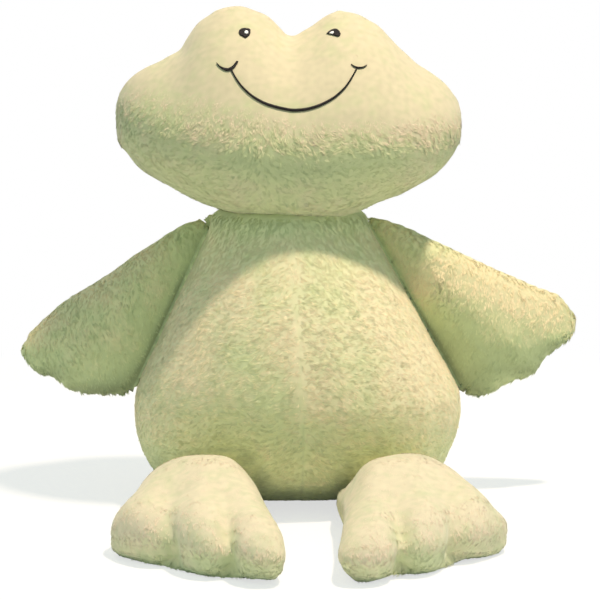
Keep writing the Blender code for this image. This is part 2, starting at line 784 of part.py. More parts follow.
def leg_plan(side, skew):
    """Places along the hip seam and out from it: three toes at the far end, longest on the inner side."""

    def place(run, across):
        toes = LEG_TOE_LOBE * lobe_wave(across, LOBES) - LEG_TOE_ARC * across * across
        toes += LEG_TOE_SLOPE * LEG_HALF_WIDTH * side * across
        out = (LEG_LENGTH + toes * run**2) * run - HINGE_INSET
        return leg_half_width(run) * across + skew * out, out

    return place


def leg_edges(share, across, side_power, toe_round):
    side = math.sqrt(max(0, 1 - abs(across) ** side_power))
    return side * round_off(share / END_ROUND_SHARE) * round_off((1 - share) / toe_round)


def leg_top_thickness(share, across):
    full = LEG_TOP * share_curve(LEG_STATION_SHARES, LEG_TOP_SHARES, share)
    towards_toes = max(0, (share - LEG_GROOVE_START) / (1 - LEG_GROOVE_START))
    groove = 1 - LOBE_GROOVE_SHARE * groove_depth(across, LOBES) * towards_toes
    return full * leg_edges(share, across, LEG_SIDE_POWER, END_ROUND_SHARE) * groove


def leg_sole_thickness(share, across):
    """The sole is pressed flat where it rests, right out to the toes."""
    full = LEG_SEAM_HEIGHT * share_curve(LEG_STATION_SHARES, LEG_SOLE_SHARES, share)
    full *= leg_edges(share, across, LEG_SOLE_POWER, SOLE_TOE_ROUND_SHARE)
    return min(full, LEG_SEAM_HEIGHT - SEAM_GAP / 2)


def hip_place(turn, hip_side):
    """A point beside the belly's foot, on the line that touches the body at the leg's turn."""
    wide, front, _ = body_radii(LEG_SEAM_HEIGHT)
    reach = math.sqrt((wide * math.sin(turn)) ** 2 + (front * math.cos(turn)) ** 2)
    touch = Vector((wide * wide * math.sin(turn), -front * front * math.cos(turn), 0)) / reach
    along = Vector((math.cos(turn), math.sin(turn), 0))
    out = Vector((math.sin(turn), -math.cos(turn), 0))
    slide = (hip_side - touch.x) / along.x
    place = touch + along * slide + out * (HIP_GAP + HINGE_INSET)
    place.z = LEG_SEAM_HEIGHT
    return place, along, out


def make_legs():
    for k, word in enumerate(("left", "right")):
        side, turn, heading = 2 * k - 1, LEG_TURNS[k], LEG_HEADINGS[k]
        place, along, out = hip_place(math.radians(turn), LEG_HIP_OFFSETS[k])
        skew = math.tan(math.radians(turn - heading))
        frame = Matrix((-along, out, Vector((0, 0, 1)))).transposed().to_4x4()
        hip = new_empty("hip_" + word, Matrix.Translation(place) @ frame, SEAT)
        names = [f"leg_{word}_top_panel", f"leg_{word}_sole_panel", f"leg_{word}_filling"]
        sizes = (LEG_LENGTH, leg_width)
        thicknesses = (leg_top_thickness, leg_sole_thickness)
        limb_objects(names, leg_plan(side, skew), thicknesses, LEG_ROWS, LEG_COLUMNS, sizes, hip)


clear_scene()
PARTS = new_collection("plush_frog")
CUTTERS = new_collection("plush_frog_cutters")
PILE = new_material("pile_green", PILE_COLOUR, FABRIC_ROUGHNESS)
BELLY = new_material("pile_pale_green", PILE_PALE_COLOUR, FABRIC_ROUGHNESS)
FILLING = new_material("polyester_filling", FILLING_COLOUR, FABRIC_ROUGHNESS)
THREAD_DARK = new_material("dark_thread", THREAD_DARK_COLOUR, THREAD_ROUGHNESS)
THREAD_LIGHT = new_material("light_thread", THREAD_LIGHT_COLOUR, THREAD_ROUGHNESS)
SEAT = new_empty("seat", Matrix.Identity(4))
NECK = new_empty("neck_turn", Matrix.Translation(neck_centre()), SEAT)
HEAD = new_empty("head_nod", Matrix.Translation(neck_centre()), NECK)

bpy.context.view_layer.update()
make_body()
make_neck()
make_head()
bpy.context.view_layer.update()
make_embroidery()
make_arms()
make_legs()
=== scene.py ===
"""A sitting plush frog: swelling fabric bodies under a combed pile, with a satin-stitched face."""

import json
import math

import bmesh
import bpy
import numpy as np
from mathutils import Matrix, Vector, noise
from mathutils.bvhtree import BVHTree

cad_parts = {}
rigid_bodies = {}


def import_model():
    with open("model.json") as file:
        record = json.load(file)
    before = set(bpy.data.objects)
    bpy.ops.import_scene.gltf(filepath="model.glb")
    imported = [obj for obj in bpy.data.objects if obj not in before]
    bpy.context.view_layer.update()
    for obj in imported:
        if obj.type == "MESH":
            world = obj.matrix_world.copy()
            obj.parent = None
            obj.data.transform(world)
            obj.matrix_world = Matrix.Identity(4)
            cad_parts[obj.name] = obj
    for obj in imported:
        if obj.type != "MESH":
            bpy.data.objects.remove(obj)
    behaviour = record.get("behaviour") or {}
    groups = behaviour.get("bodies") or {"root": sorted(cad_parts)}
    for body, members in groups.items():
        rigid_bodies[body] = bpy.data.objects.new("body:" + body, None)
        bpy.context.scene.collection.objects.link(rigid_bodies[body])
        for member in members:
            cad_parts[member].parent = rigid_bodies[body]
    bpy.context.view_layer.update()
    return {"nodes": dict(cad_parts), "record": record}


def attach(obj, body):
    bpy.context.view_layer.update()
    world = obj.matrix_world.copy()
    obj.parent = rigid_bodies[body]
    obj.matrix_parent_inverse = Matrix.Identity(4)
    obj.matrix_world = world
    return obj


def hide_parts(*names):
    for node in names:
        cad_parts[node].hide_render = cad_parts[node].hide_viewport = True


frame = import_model()
SCENE = bpy.context.scene

# Lengths are in metres, unless a comment says otherwise

# Camera, at the photograph's viewing angle
CAMERA_PLACE = Vector((-0.08, -2.12, 0.50))
CAMERA_TILT = math.radians(7.5)
CAMERA_YAW = math.radians(2.22)
CAMERA_LENS = 115.02
SENSOR = 36.0
CAMERA_TURN = Matrix.Rotation(-CAMERA_YAW, 3, "Z") @ Matrix.Rotation(math.pi / 2 - CAMERA_TILT, 3, "X")
FRAME_PIXELS = 600
FRAME_MIDDLE = FRAME_PIXELS / 2
FOCAL_PIXELS = CAMERA_LENS / SENSOR * FRAME_PIXELS

# Fabric
WEAVE_CELL = 0.0060
SMOOTH_PASSES = 3
SLACK_INSET = 0.0022
PUFF_PRESSURE = 4.0
PUFF_FRAMES = 20
PUFF_CAP = 0.0030
FLOOR_REST = 0.0012
PATTERN_SEARCH = 0.016
PATTERN_ROUNDS = 2
PATTERN_PASSES = 14
EASE_PASSES = 40
PILE_DEPTH = 0.0006

# How far the chin comes down on the chest, and how far the neck's cover draws in at its foot
CHIN_REST = 0.0085
NECK_TUCK = 0.0030

# Pile
TUFTS_PER_SQUARE_METRE = 88000
HAIRS_PER_TUFT = 6
TUFT_SPREAD = 0.0020
TUFT_GATHER = 0.30
HAIR_LENGTH = 0.0070
HAIR_WIDTH = 0.00082
HAIR_SWAY = 0.10
# Where a hair bends, as shares of its run, its rise and its width
BEND_RUN = 0.45
BEND_RISE = 0.62
BEND_WIDTH = 0.9
ROOT_DEPTH = 0.0004
LOWEST_HAIR = 0.0003
STRAY_SHARE = 0.005
STRAY_RISE = 0.22
# How the hairs' normals lean: all of them, by slow waves and hair by hair
LEAN = 0.24
LEAN_WAVES = 0.46
LEAN_JITTER = 0.06
LEAN_CELL = 0.0048
TINT_CELL = 0.006
SEED = 41

# Where the sewing pattern has its seams
BODY_LEAN_START = 0.0998
BODY_TOP = 0.3220
BODY_LEAN = -0.0100
HEAD_MIDDLE_X = -0.0100
HEAD_SEAM_Y = 0.0050
HEAD_SEAM_Z = 0.4185
HIP_SEAM_Z = 0.0290

# Lamps
LAMP_TARGET = Vector((0, -0.03, 0.28))
LAMP_DISTANCE = 2.5

# Embroidery
THREAD = 0.00042
STITCH_HEIGHT = 0.0010
GLINT_RISE = 0.0007


def placed(name, data):
    """A mesh, lamp or camera as an object of the scene."""
    made = bpy.data.objects.new(name, data)
    SCENE.collection.objects.link(made)
    return made


def mesh_from(name, bm):
    mesh = bpy.data.meshes.new(name)
    bm.to_mesh(mesh)
    bm.free()
    return mesh


def only(piece):
    """Leaves one piece selected, and active."""
    for other in bpy.context.view_layer.objects:
        other.select_set(other == piece)
    bpy.context.view_layer.objects.active = piece


def apply(piece, kind, **settings):
    modifier = piece.modifiers.new(kind.lower(), kind)
    for key, value in settings.items():
        setattr(modifier, key, value)
    only(piece)
    bpy.ops.object.modifier_apply(modifier=modifier.name)


def rows_of(items, key, width=3, kind=np.float32):
    """One value of each item of a mesh, as the rows of an array."""
    flat = np.empty(len(items) * width, kind)
    items.foreach_get(key, flat)
    return flat.reshape(-1, width)


def places_of(mesh):
    return rows_of(mesh.vertices, "co").astype(float)


def normals_of(mesh):
    return rows_of(mesh.vertex_normals, "vector").astype(float)


def put_places(mesh, places):
    mesh.vertices.foreach_set("co", places.astype(np.float32).ravel())
    mesh.update()


def unit(rows):
    return rows / np.maximum(np.linalg.norm(rows, axis=1, keepdims=True), 1e-9)


def laid(ways, normals):
    """The part of each way that runs along the surface, 1 long."""
    return unit(ways - normals * np.sum(ways * normals, axis=1, keepdims=True))


def smooth_step(low, high, value):
    share = np.clip((value - low) / (high - low), 0, 1)
    return share * share * (3 - 2 * share)


def bump(distance, width):
    """A soft bump, 1 where there is no distance."""
    return np.exp(-((distance / width) ** 2))


def noise_at(places, cell, shift):
    """A smooth random value, about -1 to 1, at each place."""
    return np.array([noise.noise(Vector(p) / cell + Vector((shift, shift, shift))) for p in places])


def each(value, places):
    """A function's value at each place, or the same number at all."""
    return value(places) if callable(value) else np.full(len(places), value)


# Materials


def feed(tree, socket, value):
    """Links a socket to the output that feeds it, or sets its number or colour."""
    if isinstance(value, bpy.types.NodeSocket):
        tree.links.new(value, socket)
    else:
        socket.default_value = value


def mix_colour(tree, blend, factor, a, b):
    node = tree.nodes.new("ShaderNodeMix")
    node.data_type = "RGBA"
    node.blend_type = blend
    for at, value in ((0, factor), (6, a), (7, b)):
        feed(tree, node.inputs[at], value)
    return node.outputs[2]


def maths(tree, operation, *values):
    node = tree.nodes.new("ShaderNodeMath")
    node.operation = operation
    for socket, value in zip(node.inputs, values):
        feed(tree, socket, value)
    return node.outputs[0]


def ranged(tree, value, low, high, to_low, to_high):
    node = tree.nodes.new("ShaderNodeMapRange")
    for socket, given in zip(node.inputs, (value, low, high, to_low, to_high)):
        feed(tree, socket, given)
    return node.outputs[0]


def noise_ranged(tree, scale, detail, to_low, to_high):
    """The middle of a noise texture's range, stretched over another range."""
    coordinates = tree.nodes.new("ShaderNodeTexCoord")
    node = tree.nodes.new("ShaderNodeTexNoise")
    node.inputs["Scale"].default_value = scale
    node.inputs["Detail"].default_value = detail
    tree.links.new(coordinates.outputs["Object"], node.inputs["Vector"])
    return ranged(tree, node.outputs["Fac"], 0.3, 0.7, to_low, to_high)


def mixed_shaders(tree, factor, a, b):
    mix = tree.nodes.new("ShaderNodeMixShader")
    for socket, value in zip(mix.inputs, (factor, a.outputs[0], b.outputs[0])):
        tree.links.new(value, socket)
    return mix.outputs[0]


def seen_directly(tree):
    """1 for rays from the camera, also by a mirror or through glass, and 0 for the light's own."""
    path = tree.nodes.new("ShaderNodeLightPath").outputs
    seen = maths(tree, "MAXIMUM", path["Is Camera Ray"], path["Is Glossy Ray"])
    return maths(tree, "MAXIMUM", seen, path["Is Transmission Ray"])


def pile_dye_and_shade_group():
    """The pile's colour: green at the roots, pale at the tips, in soft uneven patches, and painted darker where the
    paleness falls below 0.
    """
    group = bpy.data.node_groups.new("pile_dye_and_shade", "ShaderNodeTree")
    for label, kind, value in (
        ("Root", "NodeSocketColor", (0.4, 0.5, 0.25, 1)),
        ("Green", "NodeSocketColor", (0.6, 0.7, 0.4, 1)),
        ("Cream", "NodeSocketColor", (0.9, 0.85, 0.6, 1)),
        ("Along", "NodeSocketFloat", 1.0),
        ("Paleness", "NodeSocketFloat", 0.5),
        ("Tint", "NodeSocketFloat", 0.5),
    ):
        group.interface.new_socket(label, in_out="INPUT", socket_type=kind).default_value = value
    group.interface.new_socket("Colour", in_out="OUTPUT", socket_type="NodeSocketColor")
    given = group.nodes.new("NodeGroupInput").outputs
    along, paleness, tint = given["Along"], given["Paleness"], given["Tint"]
    uneven = paleness
    for varied in (
        noise_ranged(group, 21.0, 2.0, -0.24, 0.24),
        noise_ranged(group, 85.0, 3.0, -0.20, 0.20),
        ranged(group, tint, 0, 1, -0.32, 0.32),
    ):
        uneven = maths(group, "ADD", varied, uneven)
    uneven = maths(group, "MINIMUM", maths(group, "MAXIMUM", uneven, 0.0), 1.0)
    tip = mix_colour(group, "MIX", uneven, given["Green"], given["Cream"])
    colour = mix_colour(group, "MIX", ranged(group, along, 0.0, 0.6, 0, 1), given["Root"], tip)
    # Below no paleness at all the pile is painted darker, as painted shade in folds, hollows and shadowed places
    shade = ranged(group, tint, 0, 1, 0.85, 1.06)
    shade = maths(group, "MULTIPLY", shade, ranged(group, paleness, -0.8, 0.0, 0.55, 1.0))
    # Where the painted shade is deepest the green also has less red in it
    red = maths(group, "MULTIPLY", shade, ranged(group, paleness, -0.3, 0.3, 0.945, 1.0))
    scale = group.nodes.new("ShaderNodeCombineColor")
    for socket, value in zip(scale.inputs, (red, shade, shade)):
        group.links.new(value, socket)
    result = group.nodes.new("NodeGroupOutput")
    group.links.new(mix_colour(group, "MULTIPLY", 1.0, colour, scale.outputs[0]), result.inputs["Colour"])
    return group


def new_material(name, settings):
    """A material, its node tree and its main shader, with some of that one's inputs set."""
    made = bpy.data.materials.new(name)
    made.use_nodes = True
    shader = made.node_tree.nodes["Principled BSDF"]
    for label, value in settings.items():
        shader.inputs[label].default_value = value
    return made, made.node_tree, shader


PILE_SHADING = {"Roughness": 0.82, "Sheen Weight": 0.25, "Sheen Roughness": 0.5, "Specular IOR Level": 0.25}


def pile_material(name, *colours):
    """Fur whose roots, green tips and cream tips have three given colours."""
    made, tree, shader = new_material(name, PILE_SHADING)
    # The group mixes the dye with the painted light and shade that the paleness carries
    dye = tree.nodes.new("ShaderNodeGroup")
    dye.node_tree = PILE_DYE_AND_SHADE
    for label, colour in zip(("Root", "Green", "Cream"), colours):
        dye.inputs[label].default_value = (*colour, 1)
    for label, key in (("Along", "along_hair"), ("Paleness", "paleness"), ("Tint", "hair_tint")):
        node = tree.nodes.new("ShaderNodeAttribute")
        node.attribute_name = key
        tree.links.new(node.outputs["Fac"], dye.inputs[label])
    tree.links.new(dye.outputs["Colour"], shader.inputs["Base Color"])
    return made


def thread_material(name, colour):
    """Thread whose fine strands differ a little in shade and gloss."""
    made, tree, shader = new_material(name, {"Specular IOR Level": 0.22})
    strands = noise_ranged(tree, 1400.0, 2.0, 0.0, 1.0)
    lighter = tuple(min(1.0, 1.5 * c + 0.002) for c in colour)
    tree.links.new(mix_colour(tree, "MIX", strands, (*colour, 1), (*lighter, 1)), shader.inputs["Base Color"])
    tree.links.new(noise_ranged(tree, 700.0, 2.0, 0.38, 0.6), shader.inputs["Roughness"])
    return made


# The photograph's view, for what is placed by it


def ray_through(px, py):
    ray = Vector(((px - FRAME_MIDDLE) / FOCAL_PIXELS, (FRAME_MIDDLE - py) / FOCAL_PIXELS, -1))
    return (CAMERA_TURN @ ray).normalized()


def on_surface(tree, px, py, height):
    """The point at a height over a surface that shows at a pixel, and the way out there."""
    ray = ray_through(px, py)
    place, out, _, _ = tree.ray_cast(CAMERA_PLACE, ray)
    return place - ray * (height / max(0.3, -out.dot(ray))), out


def seen_at(places):
    """Where places show in the photograph's view, in pixels."""
    x, y, z = ((places - np.array(CAMERA_PLACE)) @ np.array(CAMERA_TURN)).T
    return np.stack((FRAME_MIDDLE + FOCAL_PIXELS * x / -z, FRAME_MIDDLE - FOCAL_PIXELS * y / -z), 1)


def dye_and_light_patches(places, patches):
    """How much paler or darker some soft patches make each place: patches of dye, and patches of painted light and
    shade. patches: (x, y, wide, tall, amount) as seen.
    """
    points = seen_at(places)
    total = np.zeros(len(places))
    for x, y, wide, tall, amount in patches:
        total += amount * np.exp(-(((points[:, 0] - x) / wide) ** 2) - ((points[:, 1] - y) / tall) ** 2)
    return total


def nudged(places, nudges):
    """Moves an outline a little, where it shows at a pixel. nudges: (x, y, wide, right, up), moved in millimetres."""
    points = seen_at(places)
    moved = places.copy()
    for x, y, wide, right, up in nudges:
        near = np.exp(-((points[:, 0] - x) ** 2 + (points[:, 1] - y) ** 2) / wide**2)
        moved[:, 0] += near * right / 1000
        moved[:, 2] += near * up / 1000
    return moved


# Fabric bodies


def copied(name, node):
    """A mesh like the CAD solid of a filling, with its vertices merged."""
    bm = bmesh.new()
    bm.from_mesh(frame["nodes"][node].data)
    bmesh.ops.remove_doubles(bm, verts=bm.verts, dist=1e-5)
    return placed(name, mesh_from(name, bm))


def puffed(piece):
    """Cloth under pressure: the slack cover swells over its filling, by no more than its cap."""
    before = places_of(piece.data)
    cloth = piece.modifiers.new("cover", "CLOTH")
    cloth.settings.quality = 4
    cloth.settings.use_pressure = True
    cloth.settings.uniform_pressure_force = PUFF_PRESSURE
    cloth.settings.effector_weights.gravity = 0
    cloth.collision_settings.use_collision = False
    for at in range(1, PUFF_FRAMES + 1):
        SCENE.frame_set(at)
    only(piece)
    bpy.ops.object.modifier_apply(modifier=cloth.name)
    SCENE.frame_set(1)
    move = places_of(piece.data) - before
    length = np.linalg.norm(move, axis=1, keepdims=True)
    put_places(piece.data, before + move * np.minimum(1, PUFF_CAP / np.maximum(length, 1e-9)))


def sheets_of(nodes):
    """The sewn panels of a stuffed part, for measuring."""
    corners, faces = [], []
    for node in nodes:
        mesh = frame["nodes"][node].data
        first = len(corners)
        corners += [vertex.co.copy() for vertex in mesh.vertices]
        faces += [tuple(first + k for k in face.vertices) for face in mesh.polygons]
    return BVHTree.FromPolygons(corners, faces)


def neighbour_sum(mesh):
    """A function that adds up a value over each vertex's neighbours."""
    a, b = rows_of(mesh.edges, "vertices", 2, np.int32).T
    count = len(mesh.vertices)

    def spread(values):
        return np.bincount(a, values[b], count) + np.bincount(b, values[a], count)

    return spread


def eased(mesh, weight, passes):
    """Rounds off the creases of a cover where the weight is 1."""
    places = places_of(mesh)
    spread = neighbour_sum(mesh)
    near = spread(np.ones(len(places)))
    for _ in range(passes):
        mean = np.stack([spread(places[:, k]) for k in range(3)], 1) / near[:, None]
        places += (mean - places) * 0.6 * weight[:, None]
    put_places(mesh, places)


def filled_out(mesh, panels):
    """Draws a cover out to just under its sewn panels, evenly, so that it keeps the pattern's outline."""
    pattern = sheets_of(panels)
    places, normals = places_of(mesh), normals_of(mesh)
    gap, known = np.zeros(len(places)), np.zeros(len(places))
    for i, (place, normal) in enumerate(zip(places, normals)):
        out = Vector(normal)
        distance = pattern.ray_cast(Vector(place) + out * PATTERN_SEARCH, -out, 2 * PATTERN_SEARCH)[3]
        if distance is not None and abs(PATTERN_SEARCH - distance) < 0.75 * PATTERN_SEARCH:
            gap[i], known[i] = PATTERN_SEARCH - distance, 1
    spread = neighbour_sum(mesh)
    for _ in range(PATTERN_PASSES):
        gap, known = (gap + spread(gap)) / 5, (known + spread(known)) / 5
    move = gap / np.maximum(known, 1e-9) - PILE_DEPTH
    put_places(mesh, places + normals * np.where(known > 1e-6, move, 0)[:, None])


def stuffed(name, node, panels=(), ease=None, shape=None, nudges=()):
    """A filling's cover: rounded, remeshed to an even cloth, swollen, drawn out to its panels and shaped."""
    piece = copied(name, node)
    apply(piece, "SUBSURF", levels=2, render_levels=2)
    apply(piece, "REMESH", mode="VOXEL", voxel_size=WEAVE_CELL, use_smooth_shade=True)
    apply(piece, "SMOOTH", factor=0.5, iterations=SMOOTH_PASSES)
    mesh = piece.data
    put_places(mesh, places_of(mesh) - normals_of(mesh) * SLACK_INSET)
    puffed(piece)
    apply(piece, "SUBSURF", levels=1, render_levels=1)
    mesh = piece.data
    for _ in range(PATTERN_ROUNDS if panels else 0):
        filled_out(mesh, panels)
    if ease:
        eased(mesh, ease(places_of(mesh)), EASE_PASSES)
    if shape:
        put_places(mesh, shape(places_of(mesh), normals_of(mesh)))
    places = nudged(places_of(mesh), nudges)
    places[:, 2] = np.maximum(places[:, 2], FLOOR_REST)
    put_places(mesh, places)
    mesh.shade_smooth()
    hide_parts(node)
    return piece


def body_middle(z):
    return BODY_LEAN * np.maximum(0, z - BODY_LEAN_START) / (BODY_TOP - BODY_LEAN_START)


def body_seam_distance(places):
    """How far each place is from the nearest of the body's four upright seams."""
    across = np.abs(places[:, 0] - body_middle(places[:, 2]))
    return np.minimum(across, np.abs(places[:, 1]) + 1e3 * (across < 0.03))


def joint_line(name):
    """A joint's pivot and axis at rest, from the record."""
    joint = next(j for j in frame["record"]["behaviour"]["joints"] if j["name"] == name)
    axis = np.array(joint["axis"], float)
    return np.array(joint["pos_m"], float), axis / np.linalg.norm(axis)


def across_line(places, line):
    """The straight way to each place from the nearest point of a joint's line, and how long it is."""
    pivot, axis = line
    away = places - pivot
    away = away - (away @ axis)[:, None] * axis
    return away, np.linalg.norm(away, axis=1)


def sewn_to(line, panel, reach, tuck, ends):
    """Draws the edge of a limb's cover to its seam line, as long as on its panel, and tucks it in a little."""
    pivot, axis = line
    cut = places_of(frame["nodes"][panel].data)
    off = across_line(cut, line)[1]
    root_run = ((cut - pivot) @ axis)[off < off.min() + 0.002]
    ends = root_run.min() + ends[0], root_run.max() + ends[1]

    def drawn(places):
        away, distance = across_line(places, line)
        near = 1 - smooth_step(0, reach, distance - distance.min())
        pull = (distance.min() + tuck) * near
        drawn_in = places - away * (pull / np.maximum(distance, 1e-6))[:, None]
        run = (places - pivot) @ axis
        root = run[near > 0.9]
        middle, half = (ends[0] + ends[1]) / 2, (ends[1] - ends[0]) / 2
        stretch = half / max(np.abs(root - middle).max(), 1e-6)
        return drawn_in + axis * ((run - middle) * (stretch - 1) * near)[:, None]

    return drawn


def lip_z(x):
    """The height of the lip line, where the face and the chin meet."""
    share = (x - HEAD_MIDDLE_X) / 0.196
    return HEAD_SEAM_Z - 0.0245 + 0.024 * share * share - 0.014 * (x - HEAD_MIDDLE_X)


def head_shape(places, normals):
    x, y, z = places.T
    moved = places.copy()
    # The chin rests on the chest
    fuller = 1 + 0.35 * bump(x - 0.030, 0.045)
    moved[:, 2] -= CHIN_REST * fuller * smooth_step(0.372, 0.336, z) * smooth_step(-0.02, -0.06, y)
    return moved


# Pile


def scattered(piece, density, rng):
    """Even but irregular places on a cover, with the way out there."""
    mesh = piece.data
    mesh.calc_loop_triangles()
    corners = rows_of(mesh.loop_triangles, "vertices", kind=np.int32)
    places, normals = places_of(mesh), normals_of(mesh)
    a, b, c = (places[corners[:, k]] for k in range(3))
    areas = np.linalg.norm(np.cross(b - a, c - a), axis=1) / 2
    total = np.cumsum(areas)
    count = int(total[-1] * density)
    pick = np.searchsorted(total, (np.arange(count) + rng.random(count)) * total[-1] / count)
    pick = np.minimum(pick, len(areas) - 1)
    u, v = rng.random(count), rng.random(count)
    over = u + v > 1
    u[over], v[over] = 1 - u[over], 1 - v[over]
    shares = np.stack((1 - u - v, u, v), 1)
    at, out = (sum(rows[corners[pick, k]] * shares[:, k : k + 1] for k in range(3)) for rows in (places, normals))
    return at, unit(out)


def combed(places, normals, comb, turn):
    """The way the pile lies: the comb's direction on the surface, with slow swirls and small waves."""
    lay = laid(comb(places), normals)
    swirl = turn * (0.9 * noise_at(places, 0.030, 3.1) + 1.3 * noise_at(places, 0.0052, 7.7))
    return unit(lay * np.cos(swirl)[:, None] + np.cross(normals, lay) * np.sin(swirl)[:, None])


def put_shares(mesh, **shares):
    """Gives each vertex the values that the fur's material reads."""
    for key, values in shares.items():
        layer = mesh.attributes.new(key, "FLOAT", "POINT")
        layer.data.foreach_set("value", values.astype(np.float32))


def hair_mesh(name, roots, normals, lay, tips_along, rise, widths, rng):
    """Flat tapering hairs, of a quad and a triangle each, bent over the way they are combed."""
    count = len(roots)
    side = np.cross(normals, lay)
    half = side * (widths / 2)[:, None]
    bend = roots + lay * (tips_along * BEND_RUN)[:, None] + normals * (rise * BEND_RISE)[:, None]
    tip = roots + lay * tips_along[:, None] + normals * rise[:, None]
    tip = tip + side * (rng.normal(0, 1, count) * tips_along * HAIR_SWAY)[:, None]
    corners = (roots - half, roots + half, bend + half * BEND_WIDTH, bend - half * BEND_WIDTH, tip)
    places = np.stack(corners, 1).reshape(-1, 3)
    places[:, 2] = np.maximum(places[:, 2], LOWEST_HAIR)
    base = np.arange(count)[:, None] * 5
    mesh = bpy.data.meshes.new(name)
    mesh.vertices.add(count * 5)
    mesh.vertices.foreach_set("co", places.astype(np.float32).ravel())
    loops = (base + np.array((0, 3, 2, 1, 2, 3, 4))).ravel().astype(np.int32)
    mesh.loops.add(len(loops))
    mesh.loops.foreach_set("vertex_index", loops)
    mesh.polygons.add(count * 2)
    starts = (np.arange(count)[:, None] * 7 + np.array((0, 4))).ravel().astype(np.int32)
    mesh.polygons.foreach_set("loop_start", starts)
    mesh.update(calc_edges=True)
    mesh.shade_smooth()
    return mesh


def grow(
    cover, body, panels, furs, pale, seed, comb,
    length=HAIR_LENGTH, lift=0.15, turn=0.75, even=0.0, sink=None, glow=0.0,
):
    """Grows a cover's pile, one piece for each sewn panel. panels: (name, node, slot, test of places).

    even makes the pile's hairs more alike in shade and slant, turn makes it swirl, glow turns it up to the light, and
    sink says where it grows and how short. Like length and lift they may be functions of places.
    """
    rng = np.random.default_rng(SEED + seed)
    at, out = scattered(cover, TUFTS_PER_SQUARE_METRE, rng)
    lay = combed(at, out, comb, turn)
    side = np.cross(out, lay)
    tufts = len(at)
    which = np.repeat(np.arange(tufts), HAIRS_PER_TUFT)
    count = len(which)
    long = each(length, at) * (0.92 + 0.22 * noise_at(at, 0.012, 1.3))
    varied = 1 - each(even, at)[which]
    tuft_tint = np.clip(0.5 + 0.36 * noise_at(at, TINT_CELL, 5.5) + 0.24 * rng.normal(0, 1, tufts), 0, 1)
    waves = noise_at(at, LEAN_CELL, 8.8), noise_at(at, LEAN_CELL, 2.2)
    pale_here, glow_here = pale(at, out), each(glow, at)
    angle = rng.random(count) * 2 * math.pi
    reach = TUFT_SPREAD * np.sqrt(rng.random(count))
    away = lay[which] * (reach * np.cos(angle))[:, None] + side[which] * (reach * np.sin(angle))[:, None]
    roots = at[which] + away - out[which] * ROOT_DEPTH
    hair = long[which] * rng.uniform(0.70, 1.15, count)
    stray = rng.random(count) < STRAY_SHARE * varied
    raised = each(lift, at)[which] * rng.uniform(0.55, 1.45, count) + STRAY_RISE * stray
    keep, shorter = sink(at) if sink else (np.ones(tufts, bool), np.ones(tufts))
    hair = hair * shorter[which]
    # The hairs of a tuft lean together towards its tip
    gathered = lay[which] * hair[:, None] - away * TUFT_GATHER
    bent = laid(gathered, out[which])
    tips_along = hair * np.cos(raised)
    rise = hair * np.sin(raised) * 0.9
    widths = HAIR_WIDTH * rng.uniform(0.75, 1.2, count)
    tint = np.clip(tuft_tint[which] + 0.16 * rng.normal(0, 1, count), 0, 1)
    tint = 0.55 + (tint - 0.55) * varied
    for name, node, slot, test in panels:
        use = (test(at) & keep)[which]
        tuft, outward, lay_here = which[use], out[which][use], bent[use]
        mesh = hair_mesh(name, roots[use], outward, lay_here, tips_along[use], rise[use], widths[use], rng)
        # Their normals point out, lean back and sway from side to side
        leaning, swaying = (
            varied[use] * (LEAN_WAVES * wave[tuft] + LEAN_JITTER * rng.normal(0, 1, len(tuft))) for wave in waves
        )
        facing = outward * 0.90 - lay_here * (LEAN + leaning)[:, None]
        facing += np.cross(outward, lay_here) * swaying[:, None]
        facing[:, 2] += glow_here[tuft]
        mesh.normals_split_custom_set_from_vertices(np.repeat(unit(facing), 5, axis=0))
        put_shares(
            mesh, along_hair=np.tile((0, 0, 0.55, 0.55, 1), len(tuft)), hair_tint=np.repeat(tint[use], 5),
            paleness=np.repeat(pale_here[tuft], 5),
        )
        mesh.materials.append(furs[slot])
        piece = placed(name, mesh)
        if node:
            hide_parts(node)
        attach(piece, body)
    under = places_of(cover.data)
    put_shares(
        cover.data, along_hair=np.full(len(under), 0.42),
        hair_tint=np.clip(0.45 + 0.4 * noise_at(under, TINT_CELL, 5.5), 0, 1),
        paleness=pale(under, normals_of(cover.data)),
    )
    first_slot = panels[0][2]
    cover.data.materials.clear()
    cover.data.materials.append(furs[first_slot])
    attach(cover, body)


def straight(*way):
    """A comb that runs the same way everywhere."""
    return lambda places: np.tile(way, (len(places), 1))


# Embroidery


def add_stitch(bm, start, end, out, radius, arch):
    """One thread laid from start to end, arched a little over what it covers."""
    run = end - start
    if run.length < 1e-5:
        return
    ahead = run.normalized()
    side = ahead.cross(out).normalized()
    up = side.cross(ahead)
    rings = []
    for share in (0, 0.14, 0.5, 0.86, 1):
        middle = start + run * share + up * arch * math.sin(math.pi * share)
        size = radius * (0.35 if share in (0, 1) else 1)
        ring = []
        for k in range(5):
            turn = 2 * math.pi * k / 5
            ring.append(bm.verts.new(middle + side * size * math.cos(turn) + up * size * math.sin(turn)))
        rings.append(ring)
    for first, second in zip(rings, rings[1:]):
        for k in range(5):
            j = (k + 1) % 5
            bm.faces.new((first[k], first[j], second[j], second[k]))
    bm.faces.new(rings[0][::-1])
    bm.faces.new(rings[-1])


def finish_thread(name, bm, node, slot):
    bmesh.ops.recalc_face_normals(bm, faces=bm.faces)
    mesh = mesh_from(name, bm)
    mesh.materials.append(THREADS[slot])
    mesh.shade_smooth()
    piece = placed(name, mesh)
    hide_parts(node)
    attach(piece, "head")


